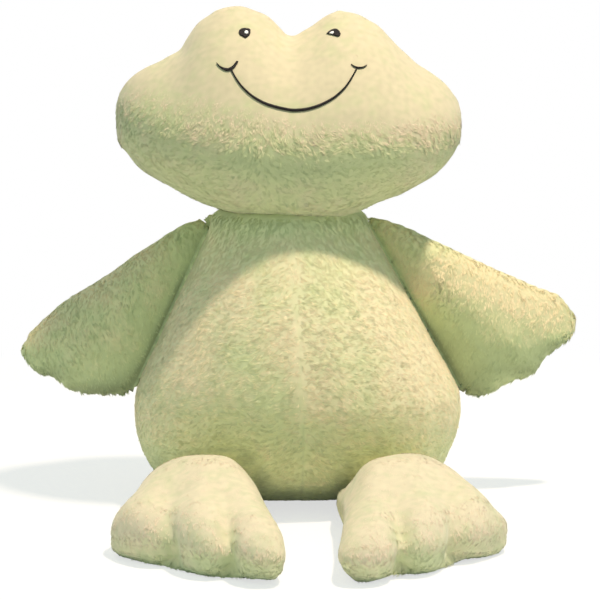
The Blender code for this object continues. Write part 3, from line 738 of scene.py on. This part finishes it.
def curve_through(points, spacing):
    """Points at even steps along a smooth curve through some pixels."""
    points = np.array(points, float)
    steps = []
    for i in range(len(points) - 1):
        p0, p1 = points[max(i - 1, 0)], points[i]
        p2, p3 = points[i + 1], points[min(i + 2, len(points) - 1)]
        for t in np.linspace(0, 1, 24, endpoint=False):
            steps.append(
                0.5 * (2 * p1 + (p2 - p0) * t + (2 * p0 - 5 * p1 + 4 * p2 - p3) * t * t
                       + (3 * p1 - p0 - 3 * p2 + p3) * t**3)
            )
    steps.append(points[-1])
    steps = np.array(steps)
    run = np.concatenate(([0], np.cumsum(np.linalg.norm(np.diff(steps, axis=0), axis=1))))
    at = np.linspace(0, run[-1], max(2, int(run[-1] / spacing)))
    return np.stack([np.interp(at, run, steps[:, k]) for k in range(2)], 1), at / run[-1]


def stitched_line(name, node, points, widths):
    """A satin-stitched line: short threads laid close together across it, over a padding cord."""
    line, shares = curve_through(points, THREAD * 1000 * 0.95)
    bm = bmesh.new()
    middles = []
    for i, ((px, py), share) in enumerate(zip(line, shares)):
        before, after = line[max(i - 1, 0)], line[min(i + 1, len(line) - 1)]
        ahead = (after - before) / np.linalg.norm(after - before)
        across = np.array((-ahead[1], ahead[0])) * np.interp(share, np.linspace(0, 1, len(widths)), widths) / 2
        slant = ahead * 0.30 * np.linalg.norm(across)
        place, out = on_surface(head_tree, px, py, STITCH_HEIGHT - THREAD * 0.6)
        a, _ = on_surface(head_tree, *(np.array((px, py)) + across + slant), STITCH_HEIGHT)
        b, _ = on_surface(head_tree, *(np.array((px, py)) - across - slant), STITCH_HEIGHT)
        middles.append((place, np.linalg.norm(across) / 1000))
        add_stitch(bm, a, b, out, THREAD * 0.62, THREAD * 1.1)
    for (p, r), (q, s) in zip(middles[::4], middles[4::4]):
        add_stitch(bm, p, q + (q - p) * 0.3, Vector((0, -1, 0)), max(0.0002, min(r, s) * 0.8), 0)
    finish_thread(name, bm, node, "dark_thread")
    return line


def stitched_patch(name, node, outline, slot, height, step, scale):
    """A satin-stitched patch: upright threads side by side from edge to edge of its outline."""
    outline = np.array(outline, float)
    middle = outline.mean(axis=0)
    outline = middle + (outline - middle) * scale
    bm = bmesh.new()
    for x in np.arange(outline[:, 0].min() + step / 2, outline[:, 0].max(), step):
        cuts = []
        for (x0, y0), (x1, y1) in zip(outline, np.roll(outline, -1, axis=0)):
            if (x0 - x) * (x1 - x) < 0:
                cuts.append(y0 + (y1 - y0) * (x - x0) / (x1 - x0))
        if len(cuts) < 2:
            continue
        top, bottom = min(cuts), max(cuts)
        a, out = on_surface(head_tree, x, top, height)
        b, _ = on_surface(head_tree, x, bottom, height)
        add_stitch(bm, a, b, out, THREAD * 0.72, THREAD * 0.9)
        add_stitch(bm, a - out * THREAD, b - out * THREAD, out, THREAD * 0.9, 0)
    finish_thread(name, bm, node, slot)


# Colours, linear
PILE_DYE_AND_SHADE = pile_dye_and_shade_group()
BODY_FURS = {
    "pile_green": pile_material("pile_green_fur", (0.64, 0.68, 0.39), (0.69, 0.74, 0.45), (0.93, 0.79, 0.61)),
    "pile_pale_green": pile_material("pile_pale_fur", (0.75, 0.79, 0.445), (0.80, 0.83, 0.475), (1.0, 0.86, 0.585)),
}
HEAD_COLOURS = (0.64, 0.65, 0.37), (0.62, 0.67, 0.37), (0.750, 0.640, 0.465)
HEAD_FURS = {
    "pile_pale_green": pile_material("face_fur", *HEAD_COLOURS), "pile_green": pile_material("head_fur", *HEAD_COLOURS),
}
ARM_FURS = {"pile_green": pile_material("arm_fur", (0.62, 0.68, 0.36), (0.67, 0.73, 0.39), (0.96, 0.83, 0.53))}
THREADS = {
    "dark_thread": thread_material("embroidery_dark", (0.0065, 0.0045, 0.0038)),
    "light_thread": thread_material("embroidery_light", (0.86, 0.85, 0.82)),
}


# Body


def body_comb(places):
    """Away from the belly's seam and down; nearly straight down on the chest and back."""
    x, y, z = places.T
    across = x - body_middle(z) + 0.010 * noise_at(places, 0.0075, 6.6)
    fan = (1.6 * smooth_step(0.30, 0.24, z) * (y < 0) + 0.3) * smooth_step(0.0, 0.002, np.abs(across))
    down = -(0.35 + 0.9 * smooth_step(0.13, 0.02, z) + 0.8 * smooth_step(0.22, 0.29, z))
    return np.stack((np.sign(across) * fan, np.where(y < 0, 0.1, 0), down), 1)


def body_pale(places, normals):
    # Paler where the surface faces up, painted light from above; darker under the chin, on the chest and low on the
    # front, painted shade; darker along the belly seam, and the belly's patches of dye and painted light and shade
    _, y, z = places.T
    front = smooth_step(0.01, -0.02, y)
    chest = smooth_step(0.225, 0.275, z)
    low = smooth_step(0.11, 0.03, z)
    under_chin = 0.55 * smooth_step(0.292, 0.318, z)
    seam = 0.30 * bump(body_seam_distance(places), 0.0012) * smooth_step(0.25, 0.21, z)
    belly_patches = dye_and_light_patches(places, BELLY_DYE_AND_SHADING)
    return 0.58 + 0.30 * normals[:, 2] - under_chin - seam - front * (0.35 * chest + 0.35 * low) + front * belly_patches


# Small moves of the outlines: where in the picture, how wide, and how far right and up in millimetres
HEAD_NUDGES = (
    (195, 30, 22, -1, 1.3), (240, 7, 24, 0, 1.3), (275, 22, 14, 0.8, 1.4), (297, 34, 8, 0, -1.2),
    (320, 20, 14, -0.9, 1.7), (345, 11, 16, 0, 1), (403, 50, 24, 1.6, 1.8), (135, 72, 26, -1, 1.2),
    (117, 112, 30, -1.8, 0), (460, 125, 24, 2.4, 0), (430, 178, 20, 1, -1.6), (145, 168, 22, -0.5, -1),
    (378, 204, 20, 0, 3.6), (127, 153, 12, 1.6, 1.3), (119, 91, 9, 1.2, -0.7), (456, 96, 10, -1.4, -0.9),
    (456, 150, 11, -1.3, 1.1), (179, 48, 9, 1, -1), (202, 20, 12, -0.7, 0.8), (265, 14, 10, 0.6, 0.6),
)
NECK_NUDGES = ((215, 210, 12, -6.0, 0), (365, 212, 12, 5.0, 0))
BODY_NUDGES = (
    (137, 432, 34, -1.5, 0), (461, 398, 24, 1.5, 0), (449, 456, 20, -2.8, 0), (213, 216, 9, -3.4, 0),
    (367, 216, 9, 2.6, 0), (300, 502, 70, 0, 1.6),
)
ARM_NUDGES = {
    "left": (
        (208, 220, 13, 3, 6.4), (209, 226, 8, 6, 0), (182, 228, 18, 0, 4), (132, 258, 16, 0, 1),
        (152, 245, 20, 0, 1.4), (132, 256, 16, 0, 1.2), (45, 318, 18, 1.6, -2.6), (24, 352, 12, -3.4, 0),
        (36, 367, 14, -2.2, -3.4), (75, 391, 14, 0, -3.8), (118, 398, 18, 0, 5),
    ),
    "right": (
        (368, 219, 10, -2, 2.5), (420, 235, 30, 0, -0.9), (561, 299, 19, 3, 5.4), (577, 324, 15, 4.6, 0),
        (556, 352, 12, -3, 2.6), (530, 375, 12, 2.4, -3.4), (503, 388, 12, 0, -2.2), (482, 397, 12, 0, -3.6),
    ),
}
LEG_NUDGES = {
    "left": (
        (110, 520, 18, 5.2, 0), (148, 480, 16, -1.6, 0), (262, 577, 24, 0, 3.6), (288, 550, 18, -3.4, 0),
        (226, 461, 22, 2, 5.6), (195, 456, 22, 1, 3), (116, 548, 16, -2.2, -1.2), (195, 577, 30, 0, -1.2),
    ),
    "right": (
        (338, 505, 18, -4.6, 0), (340, 562, 15, -4.8, -0.8), (500, 508, 14, -3.6, -2), (508, 542, 13, 4.6, 0),
        (497, 554, 13, 1.4, -4), (392, 578, 18, 0, 2.6), (435, 569, 14, 0, -1.6), (465, 560, 14, 0, 2.4),
        (470, 487, 22, 1.6, 1.6), (365, 462, 22, -2.4, 4.6), (405, 456, 26, 0, 4.2),
    ),
}

# Soft patches where the photograph shows them, of dye and of painted light and shade: where, how wide and tall in
# pixels, and how much paler
# Belly: painted shade around the legs, along the bottom and at the head's shadow, painted light on the lit upper sides,
# and mottled dye with a pale band along the seam
BELLY_DYE_AND_SHADING = (
    (264, 298, 14, 28, -0.35), (326, 298, 30, 24, -0.28), (242, 356, 26, 22, -0.55), (344, 356, 22, 28, -0.32),
    (268, 401, 40, 26, -0.48), (230, 434, 60, 22, -0.35), (387, 423, 40, 24, -0.25), (309, 441, 40, 18, -0.3),
    (300, 362, 17, 34, 0.34), (294, 288, 8, 30, 0.14), (311, 401, 12, 20, 0.28), (186, 334, 34, 44, 0.3),
    (420, 367, 30, 50, 0.45), (226, 289, 30, 20, 0.3), (372, 300, 34, 24, 0.25), (290, 275, 50, 16, 0.25),
    (248, 459, 13, 9, -0.55), (263, 478, 9, 13, -0.6), (222, 450, 22, 5, -0.4), (186, 452, 22, 5, -0.3),
    (338, 484, 9, 14, -0.6), (350, 466, 12, 9, -0.55), (376, 451, 22, 5, -0.4), (420, 450, 22, 4, -0.25),
    (160, 460, 10, 14, -0.35), (300, 494, 60, 5, -0.45),
)
# Head: painted shade on the left jaw, the left crown and under the chin, painted light on the right side, and green dye
# above the smile, the eyes and the left cheek stitch
HEAD_DYE_AND_SHADING = (
    (150, 108, 36, 12, -0.3), (209, 110, 24, 9, -0.2), (195, 134, 26, 9, 0.35), (170, 45, 22, 24, -0.22),
    (305, 170, 60, 12, -0.35), (239, 156, 20, 10, -0.3), (374, 150, 30, 12, -0.3), (420, 129, 30, 14, 0.3),
    (386, 184, 30, 8, 0.2), (294, 106, 34, 4, -0.5), (245.7, 25.8, 10, 4, -0.45), (333, 25.8, 10, 4, -0.45),
    (227, 65.5, 8, 4, -0.4),
)
# Arms: painted light along the lit upper edges and sides, painted shade along the lower edges, by the shoulders and on
# the lower halves
ARM_LIGHT_AND_SHADE = {
    "left": (
        (140, 254, 20, 8, 0.6), (110, 271, 24, 9, 0.75), (80, 291, 24, 9, 0.8), (50, 317, 20, 10, 0.8),
        (33, 340, 12, 10, 0.6), (190, 236, 22, 16, -0.3), (186, 285, 12, 34, -0.2), (135, 315, 22, 14, -0.2),
        (168, 345, 20, 24, -0.45), (188, 320, 10, 26, -0.2), (125, 386, 50, 12, -0.6), (150, 394, 34, 7, -0.75),
        (150, 372, 34, 16, -0.4), (45, 374, 26, 8, -0.6), (90, 392, 30, 7, -0.6), (27, 352, 7, 10, -0.4),
        (60, 360, 24, 12, -0.25),
    ),
    "right": (
        (455, 272, 40, 24, 0.68), (505, 292, 40, 22, 0.75), (553, 308, 34, 18, 0.7), (418, 290, 17, 20, 0.85),
        (392, 247, 18, 22, 0.3), (452, 338, 32, 24, -0.25), (490, 356, 44, 18, -0.28), (540, 352, 34, 12, -0.28),
        (468, 382, 30, 16, -0.6), (440, 360, 14, 24, -0.3), (468, 394, 26, 7, -0.7), (530, 370, 34, 7, -0.5),
        (557, 345, 12, 12, -0.4),
    ),
}
# Feet: painted shade in the toes' grooves, on the lower fronts and on the legs' inner sides, and paler dye patches on
# the toes
FOOT_DYE_AND_SHADING = (
    (378, 555, 24, 12, 0.35), (134, 528, 22, 18, 0.35), (165.6, 531, 6, 14, -0.45), (234, 542, 7, 16, -0.45),
    (207, 563, 28, 8, -0.35), (405, 547, 12, 16, -0.45), (465.6, 531, 5, 10, -0.45), (435, 560, 30, 8, -0.15),
    (408, 520, 30, 10, -0.15), (337, 488, 5, 18, -0.8), (350, 470, 7, 7, -0.5), (265, 484, 5, 18, -0.7),
    (252, 466, 7, 6, -0.4),
)

# The arms' upper edges and the edge of the head's shadow on them, as seen: pixels to interpolate between
ARM_EDGE = {
    "left": ((24, 45, 80, 110, 150, 205), (345, 318, 292, 271, 243, 219)),
    "right": ((380, 424, 470, 520, 560, 577), (240, 266, 266, 280, 292, 310)),
}
ARM_SHADE = {"left": ((220, 260), (172, 160)), "right": ((240, 265, 290, 320), (436, 430, 437, 452))}
# How wide the lit upper side is, and how far it turns up to the light and the lower side away from it
ARM_LIT = {"left": (10, 0.15, -0.42), "right": (42, 0.95, -0.22)}
# How much weaker the painted shade of the crease is high on the arms' seams than low on them
CREASE_EASED = 0.6


def body_sink(places):
    return places[:, 2] < BODY_TOP - 0.0022, 1 - 0.15 * bump(body_seam_distance(places), 0.004)


def body_even(places):
    """Softer on the chest, in the chin's shadow."""
    return 0.90 * smooth_step(0.235, 0.270, places[:, 2]) * (places[:, 1] < 0)


def near_seat(places):
    return (places[:, 2] < 0.0065) & (np.hypot(places[:, 0] / 0.097, places[:, 1] / 0.075) < 1)


def body_quarter(face, word):
    """The pile of one of the body's four upright panels."""

    def test(places):
        x, y, z = places.T
        return ((y < 0) == (face == "belly")) & ((x < body_middle(z)) == (word == "left")) & ~near_seat(places)

    slot = "pile_pale_green" if face == "belly" else "pile_green"
    return f"{face}_{word}_pile", f"{face}_panel_{word}", slot, test


BODY_PILES = [body_quarter(face, word) for face in ("belly", "back") for word in ("left", "right")]
BODY_PILES.append(("seat_pile", "seat_panel", "pile_green", near_seat))
BODY_PANELS = [node for _, node, _, _ in BODY_PILES]
grow(
    stuffed("body_cover", "body_filling", BODY_PANELS, nudges=BODY_NUDGES), "body", BODY_PILES, BODY_FURS,
    body_pale, 1, body_comb, even=body_even, sink=body_sink,
)


# Neck


def neck_shape(places, normals):
    return places - normals * (NECK_TUCK * smooth_step(BODY_TOP + 0.012, BODY_TOP, places[:, 2]))[:, None]


# The neck's pile is painted one shade darker all over, painted shade under the chin
grow(
    stuffed("neck_cover", "neck_filling", shape=neck_shape, nudges=NECK_NUDGES), "neck",
    (("neck_pile", None, "pile_green", lambda p: p[:, 2] > BODY_TOP + 0.004),),
    BODY_FURS, lambda p, n: np.full(len(p), -0.25), 2, straight(0.0, 0.0, -1.0),
    length=0.0060, lift=0.05, turn=0.3, even=0.8,
)


# Head


def head_ease(places):
    x, y, z = places.T
    return smooth_step(-0.006, -0.030, y) * smooth_step(0.345, 0.360, z)


HEAD_PANELS = (
    "face_panel", "chin_panel_left", "chin_panel_right", "head_back_panel_left", "head_back_panel_right",
)
head_cover = stuffed("head_cover", "head_filling", HEAD_PANELS, head_ease, head_shape, HEAD_NUDGES)
head_tree = BVHTree.FromObject(head_cover, bpy.context.evaluated_depsgraph_get())

# The embroidery, as seen, in pixels
SMILE = (
    (231, 69.4), (239.5, 83.5), (251, 95), (263.8, 102.7), (276.5, 107), (289.3, 109.7), (297, 110.1),
    (308.4, 108.7), (321, 104.6), (333.9, 97.6), (344, 88.6), (350.5, 79.7), (356.7, 68.8),
)
CHEEK_LEFT = ((216.6, 63), (221.0, 67.3), (227.5, 69.6), (233.4, 66.8), (237.3, 61.3))
CHEEK_RIGHT = ((351.3, 64.2), (354.6, 66.6), (359, 67.6), (363.2, 67.2), (366.7, 65.0))
EYE_LEFT = (
    (238.8, 32), (239.6, 29.6), (241.8, 28.1), (245, 27.7), (248.6, 28), (250.4, 29.3),
    (250.4, 32.4), (249.6, 35), (247.6, 36.6), (245.2, 37.9), (242.8, 36.4), (239.9, 34.8),
)
GLINT_LEFT = ((244, 32.2), (244.7, 30.4), (246.6, 29.8), (248.3, 30.6), (248.6, 32.5), (247.3, 34.2), (244.9, 33.9))
EYE_RIGHT = (
    (326.6, 33.3), (328.9, 31), (331.5, 29.2), (334.6, 28.3), (337.2, 28.6), (339.4, 30.6),
    (340.5, 33.4), (340.1, 35.4), (338.3, 36.5), (335.6, 35.8), (332.6, 34.9), (329.4, 34.1),
)
GLINT_RIGHT = ((329, 33.2), (330.6, 31.7), (332.6, 30.8), (334, 31.1), (334, 32.7), (333, 33.9), (330.8, 33.7))
stitched_lines = [
    stitched_line(*row)
    for row in (
        ("smile_stitches", "smile_embroidery", SMILE, (1.5, 1.9, 2.4, 2.9, 3.2, 3.2, 2.9, 2.4, 1.9, 1.4)),
        ("cheek_left_stitches", "cheek_stitch_left", CHEEK_LEFT, (0.9, 2.0, 3.4, 3.0, 2.4)),
        ("cheek_right_stitches", "cheek_stitch_right", CHEEK_RIGHT, (1.0, 1.5, 2.0, 1.6, 1.0)),
    )
]
for row in (
    ("eye_left_stitches", "eye_left", EYE_LEFT, "dark_thread", STITCH_HEIGHT, 0.40, 1.0),
    ("eye_right_stitches", "eye_right", EYE_RIGHT, "dark_thread", STITCH_HEIGHT, 0.40, 1.0),
    ("eye_left_glint", "eye_glint_left", GLINT_LEFT, "light_thread", STITCH_HEIGHT + GLINT_RISE, 0.36, 0.84),
    ("eye_right_glint", "eye_glint_right", GLINT_RIGHT, "light_thread", STITCH_HEIGHT + GLINT_RISE, 0.36, 0.84),
):
    stitched_patch(*row)


def pixels_to(points, marks):
    marks = np.array(marks, float)
    return np.min(np.linalg.norm(points[:, None, :] - marks[None, ::3], axis=2), axis=1)


def embroidery_distance(places):
    """How far each place of the face is from the embroidery, in pixels, about millimetres here."""
    points = seen_at(places)
    distance = np.full(len(places), 99.0)
    front = places[:, 1] < HEAD_SEAM_Y - 0.01
    for line in stitched_lines:
        distance[front] = np.minimum(distance[front], pixels_to(points[front], line))
    for outline in (EYE_LEFT, EYE_RIGHT):
        middle = np.mean(outline, axis=0)
        from_middle = np.hypot((points[front, 0] - middle[0]) / 1.25, points[front, 1] - middle[1])
        distance[front] = np.minimum(distance[front], np.maximum(0, from_middle - 5.2))
    return distance


def head_sink(places):
    distance = embroidery_distance(places)
    return distance > 1.5, 1 - 0.45 * bump(distance, 7.0)


def head_length(places):
    """Short on the face, growing longer towards the jaw and the back."""
    x, y, z = places.T
    face = smooth_step(HEAD_SEAM_Z - 0.030, HEAD_SEAM_Z + 0.035, z) * smooth_step(0.02, -0.01, y)
    return HAIR_LENGTH - 0.0022 * face


def head_comb(places):
    x, y, z = places.T
    across = x - HEAD_MIDDLE_X
    chin = smooth_step(HEAD_SEAM_Z + 0.010, HEAD_SEAM_Z - 0.025, z) * (y < HEAD_SEAM_Y)
    sideways = across * 3.5 * (1 - chin) + 1.2 * np.tanh((across + 0.03) / 0.05) * chin
    return np.stack((sideways, np.where(y < HEAD_SEAM_Y, -0.1, 0.1), -0.75 + 0.35 * chin), 1)


def curls_at(places):
    """How far above the jaw's band of curls each place shows, 0 to 1, and how much it is in the band."""
    x, y = seen_at(places).T
    y = y + 5 * noise_at(places, 0.018, 4.4)
    top = np.interp(x, (118, 160, 235, 300, 380, 460), (83, 85, 102, 117, 118, 112))
    low = np.interp(x, (118, 160, 235, 300, 380, 460), (126, 131, 149, 157, 154, 148))
    return smooth_step(low + 6, top, y), smooth_step(top - 8, top + 10, y) * smooth_step(low + 8, low - 8, y)


def head_pale(places, normals):
    # Paler on the upper face and high on the back of the head, and where the surface faces up: painted light from
    # above; the band of curls along the jaw is mottled, and the front has the head's patches of dye and painted shade
    x, y, z = places.T
    front = smooth_step(HEAD_SEAM_Y + 0.01, HEAD_SEAM_Y - 0.01, y)
    seen, curls = curls_at(places)
    face = seen * front + smooth_step(HEAD_SEAM_Z - 0.040, HEAD_SEAM_Z + 0.022, z) * (1 - front)
    mottled = curls * (-0.10 + 0.60 * noise_at(places, 0.0034, 1.9))
    return 0.22 + 0.66 * face + 0.12 * normals[:, 2] + front * (dye_and_light_patches(places, HEAD_DYE_AND_SHADING) + mottled)


def head_quarter(part, word):
    """The pile of a chin panel or of a panel of the head's back."""

    def test(places):
        x, y, z = places.T
        front = y < HEAD_SEAM_Y
        return (front == (part == "chin")) & ((x < HEAD_MIDDLE_X) == (word == "left")) & ~(front & (z > lip_z(x)))

    return f"{part}_{word}_pile", f"{part}_panel_{word}", "pile_green", test


def head_even(places):
    """The pile is as even as felt on the face, curly along the lip and softer again on the chin."""
    face, curls = curls_at(places)
    return (0.30 + 0.67 * smooth_step(0.7, 1.0, face) - 0.70 * curls) * smooth_step(0.055, 0.025, places[:, 1])


def head_glow(places):
    """How much the curls of the jaw turn up to the light."""
    _, curls = curls_at(places)
    by_edge = smooth_step(114, 150, seen_at(places)[:, 0])
    return curls * (0.66 + 1.1 * noise_at(places, 0.0034, 1.9)) * by_edge * (places[:, 1] < HEAD_SEAM_Y)


def head_lift(places):
    face, curls = curls_at(places)
    return 0.10 - 0.06 * smooth_step(0.6, 1.0, face) + 0.08 * curls


grow(
    head_cover, "head",
    (
        ("face_pile", "face_panel", "pile_pale_green", lambda p: (p[:, 1] < HEAD_SEAM_Y) & (p[:, 2] > lip_z(p[:, 0]))),
        *(head_quarter(part, word) for part in ("chin", "head_back") for word in ("left", "right")),
    ),
    HEAD_FURS, head_pale, 3, head_comb,
    length=head_length, lift=head_lift, turn=1.0, even=head_even, sink=head_sink, glow=head_glow,
)


# Arms and legs


def from_line(line, least):
    """No hairs nearer to a limb's seam than the least distance, where it is tucked into the body."""

    def sink(places):
        return (across_line(places, line)[1] > least) | (places[:, 2] > 0.302), np.ones(len(places))

    return sink


def make_arm(word, side, seed):
    line = joint_line(f"shoulder_{word}")
    panels = (f"arm_{word}_front_panel", f"arm_{word}_back_panel")
    sewn = sewn_to(line, panels[0], 0.040, 0.012, (-0.001, 0.0))
    front_sheet, back_sheet = (sheets_of([panel]) for panel in panels)

    def arm_pale(places, normals):
        # Paler where the surface faces up, painted light from above; darker close to the seam line, painted shade in
        # the crease; and the arm's patches of painted light and shade on its front
        off, z = across_line(places, line)[1], places[:, 2]
        deep = smooth_step(0.318, 0.306, z) * (1 - CREASE_EASED * smooth_step(0.225, 0.265, z))
        crease = deep * (0.30 * bump(off, 0.0100) + 0.62 * bump(off, 0.0038))
        front = smooth_step(0.2, -0.2, normals[:, 1])
        return 0.20 + 0.35 * normals[:, 2] + front * dye_and_light_patches(places, ARM_LIGHT_AND_SHADE[word]) - crease

    def under_edge(places):
        """How far under the arm's upper edge a place shows, and how much it is out of the head's shadow."""
        x, y = seen_at(places).T
        return y - np.interp(x, *ARM_EDGE[word]), smooth_step(-7, 9, side * (x - np.interp(y, *ARM_SHADE[word])))

    def arm_glow(places):
        """The upper side of the arm turns up to the light, and the lower side away from it."""
        below, lit = under_edge(places)
        wide, bright, dim = ARM_LIT[word]
        return lit * bright * smooth_step(wide + 14, wide - 14, below) + dim * smooth_step(45, 85, below)

    def arm_even(places):
        """Soft in the head's shadow and along the upper edge, hairier in the middle."""
        below, lit = under_edge(places)
        return 0.20 + 0.55 * np.maximum(1 - lit, smooth_step(32, 10, below))

    def on_front(places):
        points = [Vector(place) for place in places]
        return np.array([front_sheet.find_nearest(p)[3] < back_sheet.find_nearest(p)[3] for p in points])

    grow(
        stuffed(
            f"arm_{word}_cover", f"arm_{word}_filling", panels,
            shape=lambda places, normals: sewn(places), nudges=ARM_NUDGES[word],
        ),
        f"arm_{word}",
        (
            (f"arm_{word}_front_pile", panels[0], "pile_green", on_front),
            (f"arm_{word}_back_pile", panels[1], "pile_green", lambda p: ~on_front(p)),
        ),
        ARM_FURS, arm_pale, seed, straight(-side * 0.30, 0.0, -1.0),
        lift=0.10, turn=0.7, even=arm_even, sink=from_line(line, 0.0055), glow=arm_glow,
    )


LEG_STATIONS = (0, 0.10, 0.25, 0.42, 0.60, 0.78, 0.92, 1)
LEG_HALF_WIDTHS = (0.0545, 0.0602, 0.0649, 0.0686, 0.0761, 0.0884, 0.0940, 0.0893)
LEG_REACH = 0.2420


def toed(line, skew, outward):
    """Dents two grooves between a foot's three toes, running over it from the front."""
    pivot, axis = line
    ahead = np.array((axis[1], -axis[0], 0.0))
    ahead = ahead * -np.sign(ahead[1])

    def dented(places, normals):
        along = (places - pivot) @ ahead
        across = -(places - pivot) @ axis - skew * along
        share = np.clip(along / LEG_REACH, 0, 1)
        across = across / np.interp(share, LEG_STATIONS, LEG_HALF_WIDTHS)
        groove = bump(across - 0.333, 0.095) + bump(across + 0.333, 0.095)
        depth = (0.0030 * smooth_step(0.66, 0.86, share) + 0.0085 * smooth_step(0.82, 1.0, share)) * groove
        # The top panel's edge stands out over the sole's side, and the sole's edge is rounded
        side = 1 - smooth_step(0.6, 0.9, np.abs(normals[:, 2]))
        z = places[:, 2]
        depth += 0.0026 * bump(z - 0.014, 0.009) * side * smooth_step(0.25, 0.5, share)
        rounded = 0.0045 * smooth_step(0.012, 0.0, z) * smooth_step(0.25, 0.5, share)
        # The outer toe spreads
        spread = 0.0070 * smooth_step(0.45, 0.95, -outward * across) * smooth_step(0.55, 0.85, share)
        flat = normals * (1, 1, 0)
        return places - normals * (depth * (z > 0.003))[:, None] - flat * (rounded - spread)[:, None]

    return dented


def make_leg(word, side, slant, seed):
    line = joint_line(f"hip_{word}")
    panels = (f"leg_{word}_top_panel", f"leg_{word}_sole_panel")
    sewn = sewn_to(line, panels[0], 0.030, 0.004, (0.004, -0.004))
    toes = toed(line, math.tan(math.radians(slant)), side)

    def leg_pale(places, normals):
        # Paler where the surface faces up and above the seam's ridge, darker on the feet's lower sides: painted light
        # and shade; the foot patches add dye and painted shade
        z = places[:, 2]
        return 0.33 + 0.34 * normals[:, 2] + 0.30 * smooth_step(0.014, 0.032, z) + dye_and_light_patches(places, FOOT_DYE_AND_SHADING)

    grow(
        stuffed(
            f"leg_{word}_cover", f"leg_{word}_filling", panels,
            shape=lambda places, normals: sewn(toes(places, normals)), nudges=LEG_NUDGES[word],
        ),
        f"leg_{word}",
        (
            (f"leg_{word}_top_pile", panels[0], "pile_green", lambda p: p[:, 2] > HIP_SEAM_Z),
            (f"leg_{word}_sole_pile", panels[1], "pile_green", lambda p: p[:, 2] <= HIP_SEAM_Z),
        ),
        BODY_FURS, leg_pale, seed, straight(side * 0.10, -0.85, -0.55),
        length=0.0062, lift=0.07, turn=0.35, even=0.55,
    )


make_arm("left", -1, 4)
make_arm("right", 1, 5)
make_leg("left", -1, -19, 6)
make_leg("right", 1, 17, 7)


# Studio


def make_floor():
    bpy.ops.object.select_all(action="DESELECT")
    bpy.ops.mesh.primitive_plane_add(size=8, location=(0, 0, 0))
    floor = bpy.context.object
    floor.name = "studio_floor"
    paper = {"Base Color": (0.93, 0.93, 0.93, 1), "Roughness": 0.9, "Specular IOR Level": 0.1}
    made, tree, shader = new_material("studio_floor_paper", paper)
    # Seen by the camera the paper is white, and away from the frog it has no falling off of the light
    seen = seen_directly(tree)
    coordinates = tree.nodes.new("ShaderNodeTexCoord")
    distance = tree.nodes.new("ShaderNodeVectorMath")
    distance.operation = "LENGTH"
    tree.links.new(coordinates.outputs["Object"], distance.inputs[0])
    far = ranged(tree, distance.outputs["Value"], 0.35, 1.1, 0.0, 1.0)
    lifted = tree.nodes.new("ShaderNodeEmission")
    tree.links.new(maths(tree, "MULTIPLY", seen, 0.16), lifted.inputs["Strength"])
    added = tree.nodes.new("ShaderNodeAddShader")
    tree.links.new(shader.outputs[0], added.inputs[0])
    tree.links.new(lifted.outputs[0], added.inputs[1])
    share = maths(tree, "MULTIPLY", seen, maths(tree, "MAXIMUM", far, 0.6))
    paper = mixed_shaders(tree, share, added, tree.nodes.new("ShaderNodeEmission"))
    tree.links.new(paper, tree.nodes["Material Output"].inputs["Surface"])
    floor.data.materials.append(made)


def make_world():
    """An even light all round, white where the camera sees it."""
    world = bpy.data.worlds.new("studio_surround")
    SCENE.world = world
    world.use_nodes = True
    tree = world.node_tree
    tree.nodes.clear()
    ambient, white = (tree.nodes.new("ShaderNodeBackground") for _ in range(2))
    ambient.inputs["Color"].default_value = (0.70, 0.98, 0.92, 1)
    ambient.inputs["Strength"].default_value = 0.40
    white.inputs["Color"].default_value = (1, 1, 1, 1)
    out = tree.nodes.new("ShaderNodeOutputWorld")
    tree.links.new(mixed_shaders(tree, seen_directly(tree), ambient, white), out.inputs["Surface"])


def add_lamp(name, towards, size, power, colour):
    lamp = bpy.data.lights.new(name, "AREA")
    lamp.size = size
    lamp.energy = power
    lamp.color = colour
    made = placed(name, lamp)
    towards = Vector(towards).normalized()
    made.location = LAMP_TARGET + towards * LAMP_DISTANCE
    made.rotation_euler = towards.to_track_quat("Z", "Y").to_euler()


make_floor()
make_world()
add_lamp("edge_lamp", (-0.50, 0.75, 0.50), 0.6, 11, (1.0, 0.78, 0.58))
add_lamp("key_lamp", (0.25, -0.17, 0.93), 0.17, 68, (1.0, 0.82, 0.70))

camera = bpy.data.cameras.new("photo_camera")
camera.lens = CAMERA_LENS
camera.sensor_width = SENSOR
camera_object = placed("photo_camera", camera)
camera_object.location = CAMERA_PLACE
camera_object.rotation_euler = (math.pi / 2 - CAMERA_TILT, 0, -CAMERA_YAW)
SCENE.camera = camera_object
SCENE.view_settings.view_transform = "Standard"
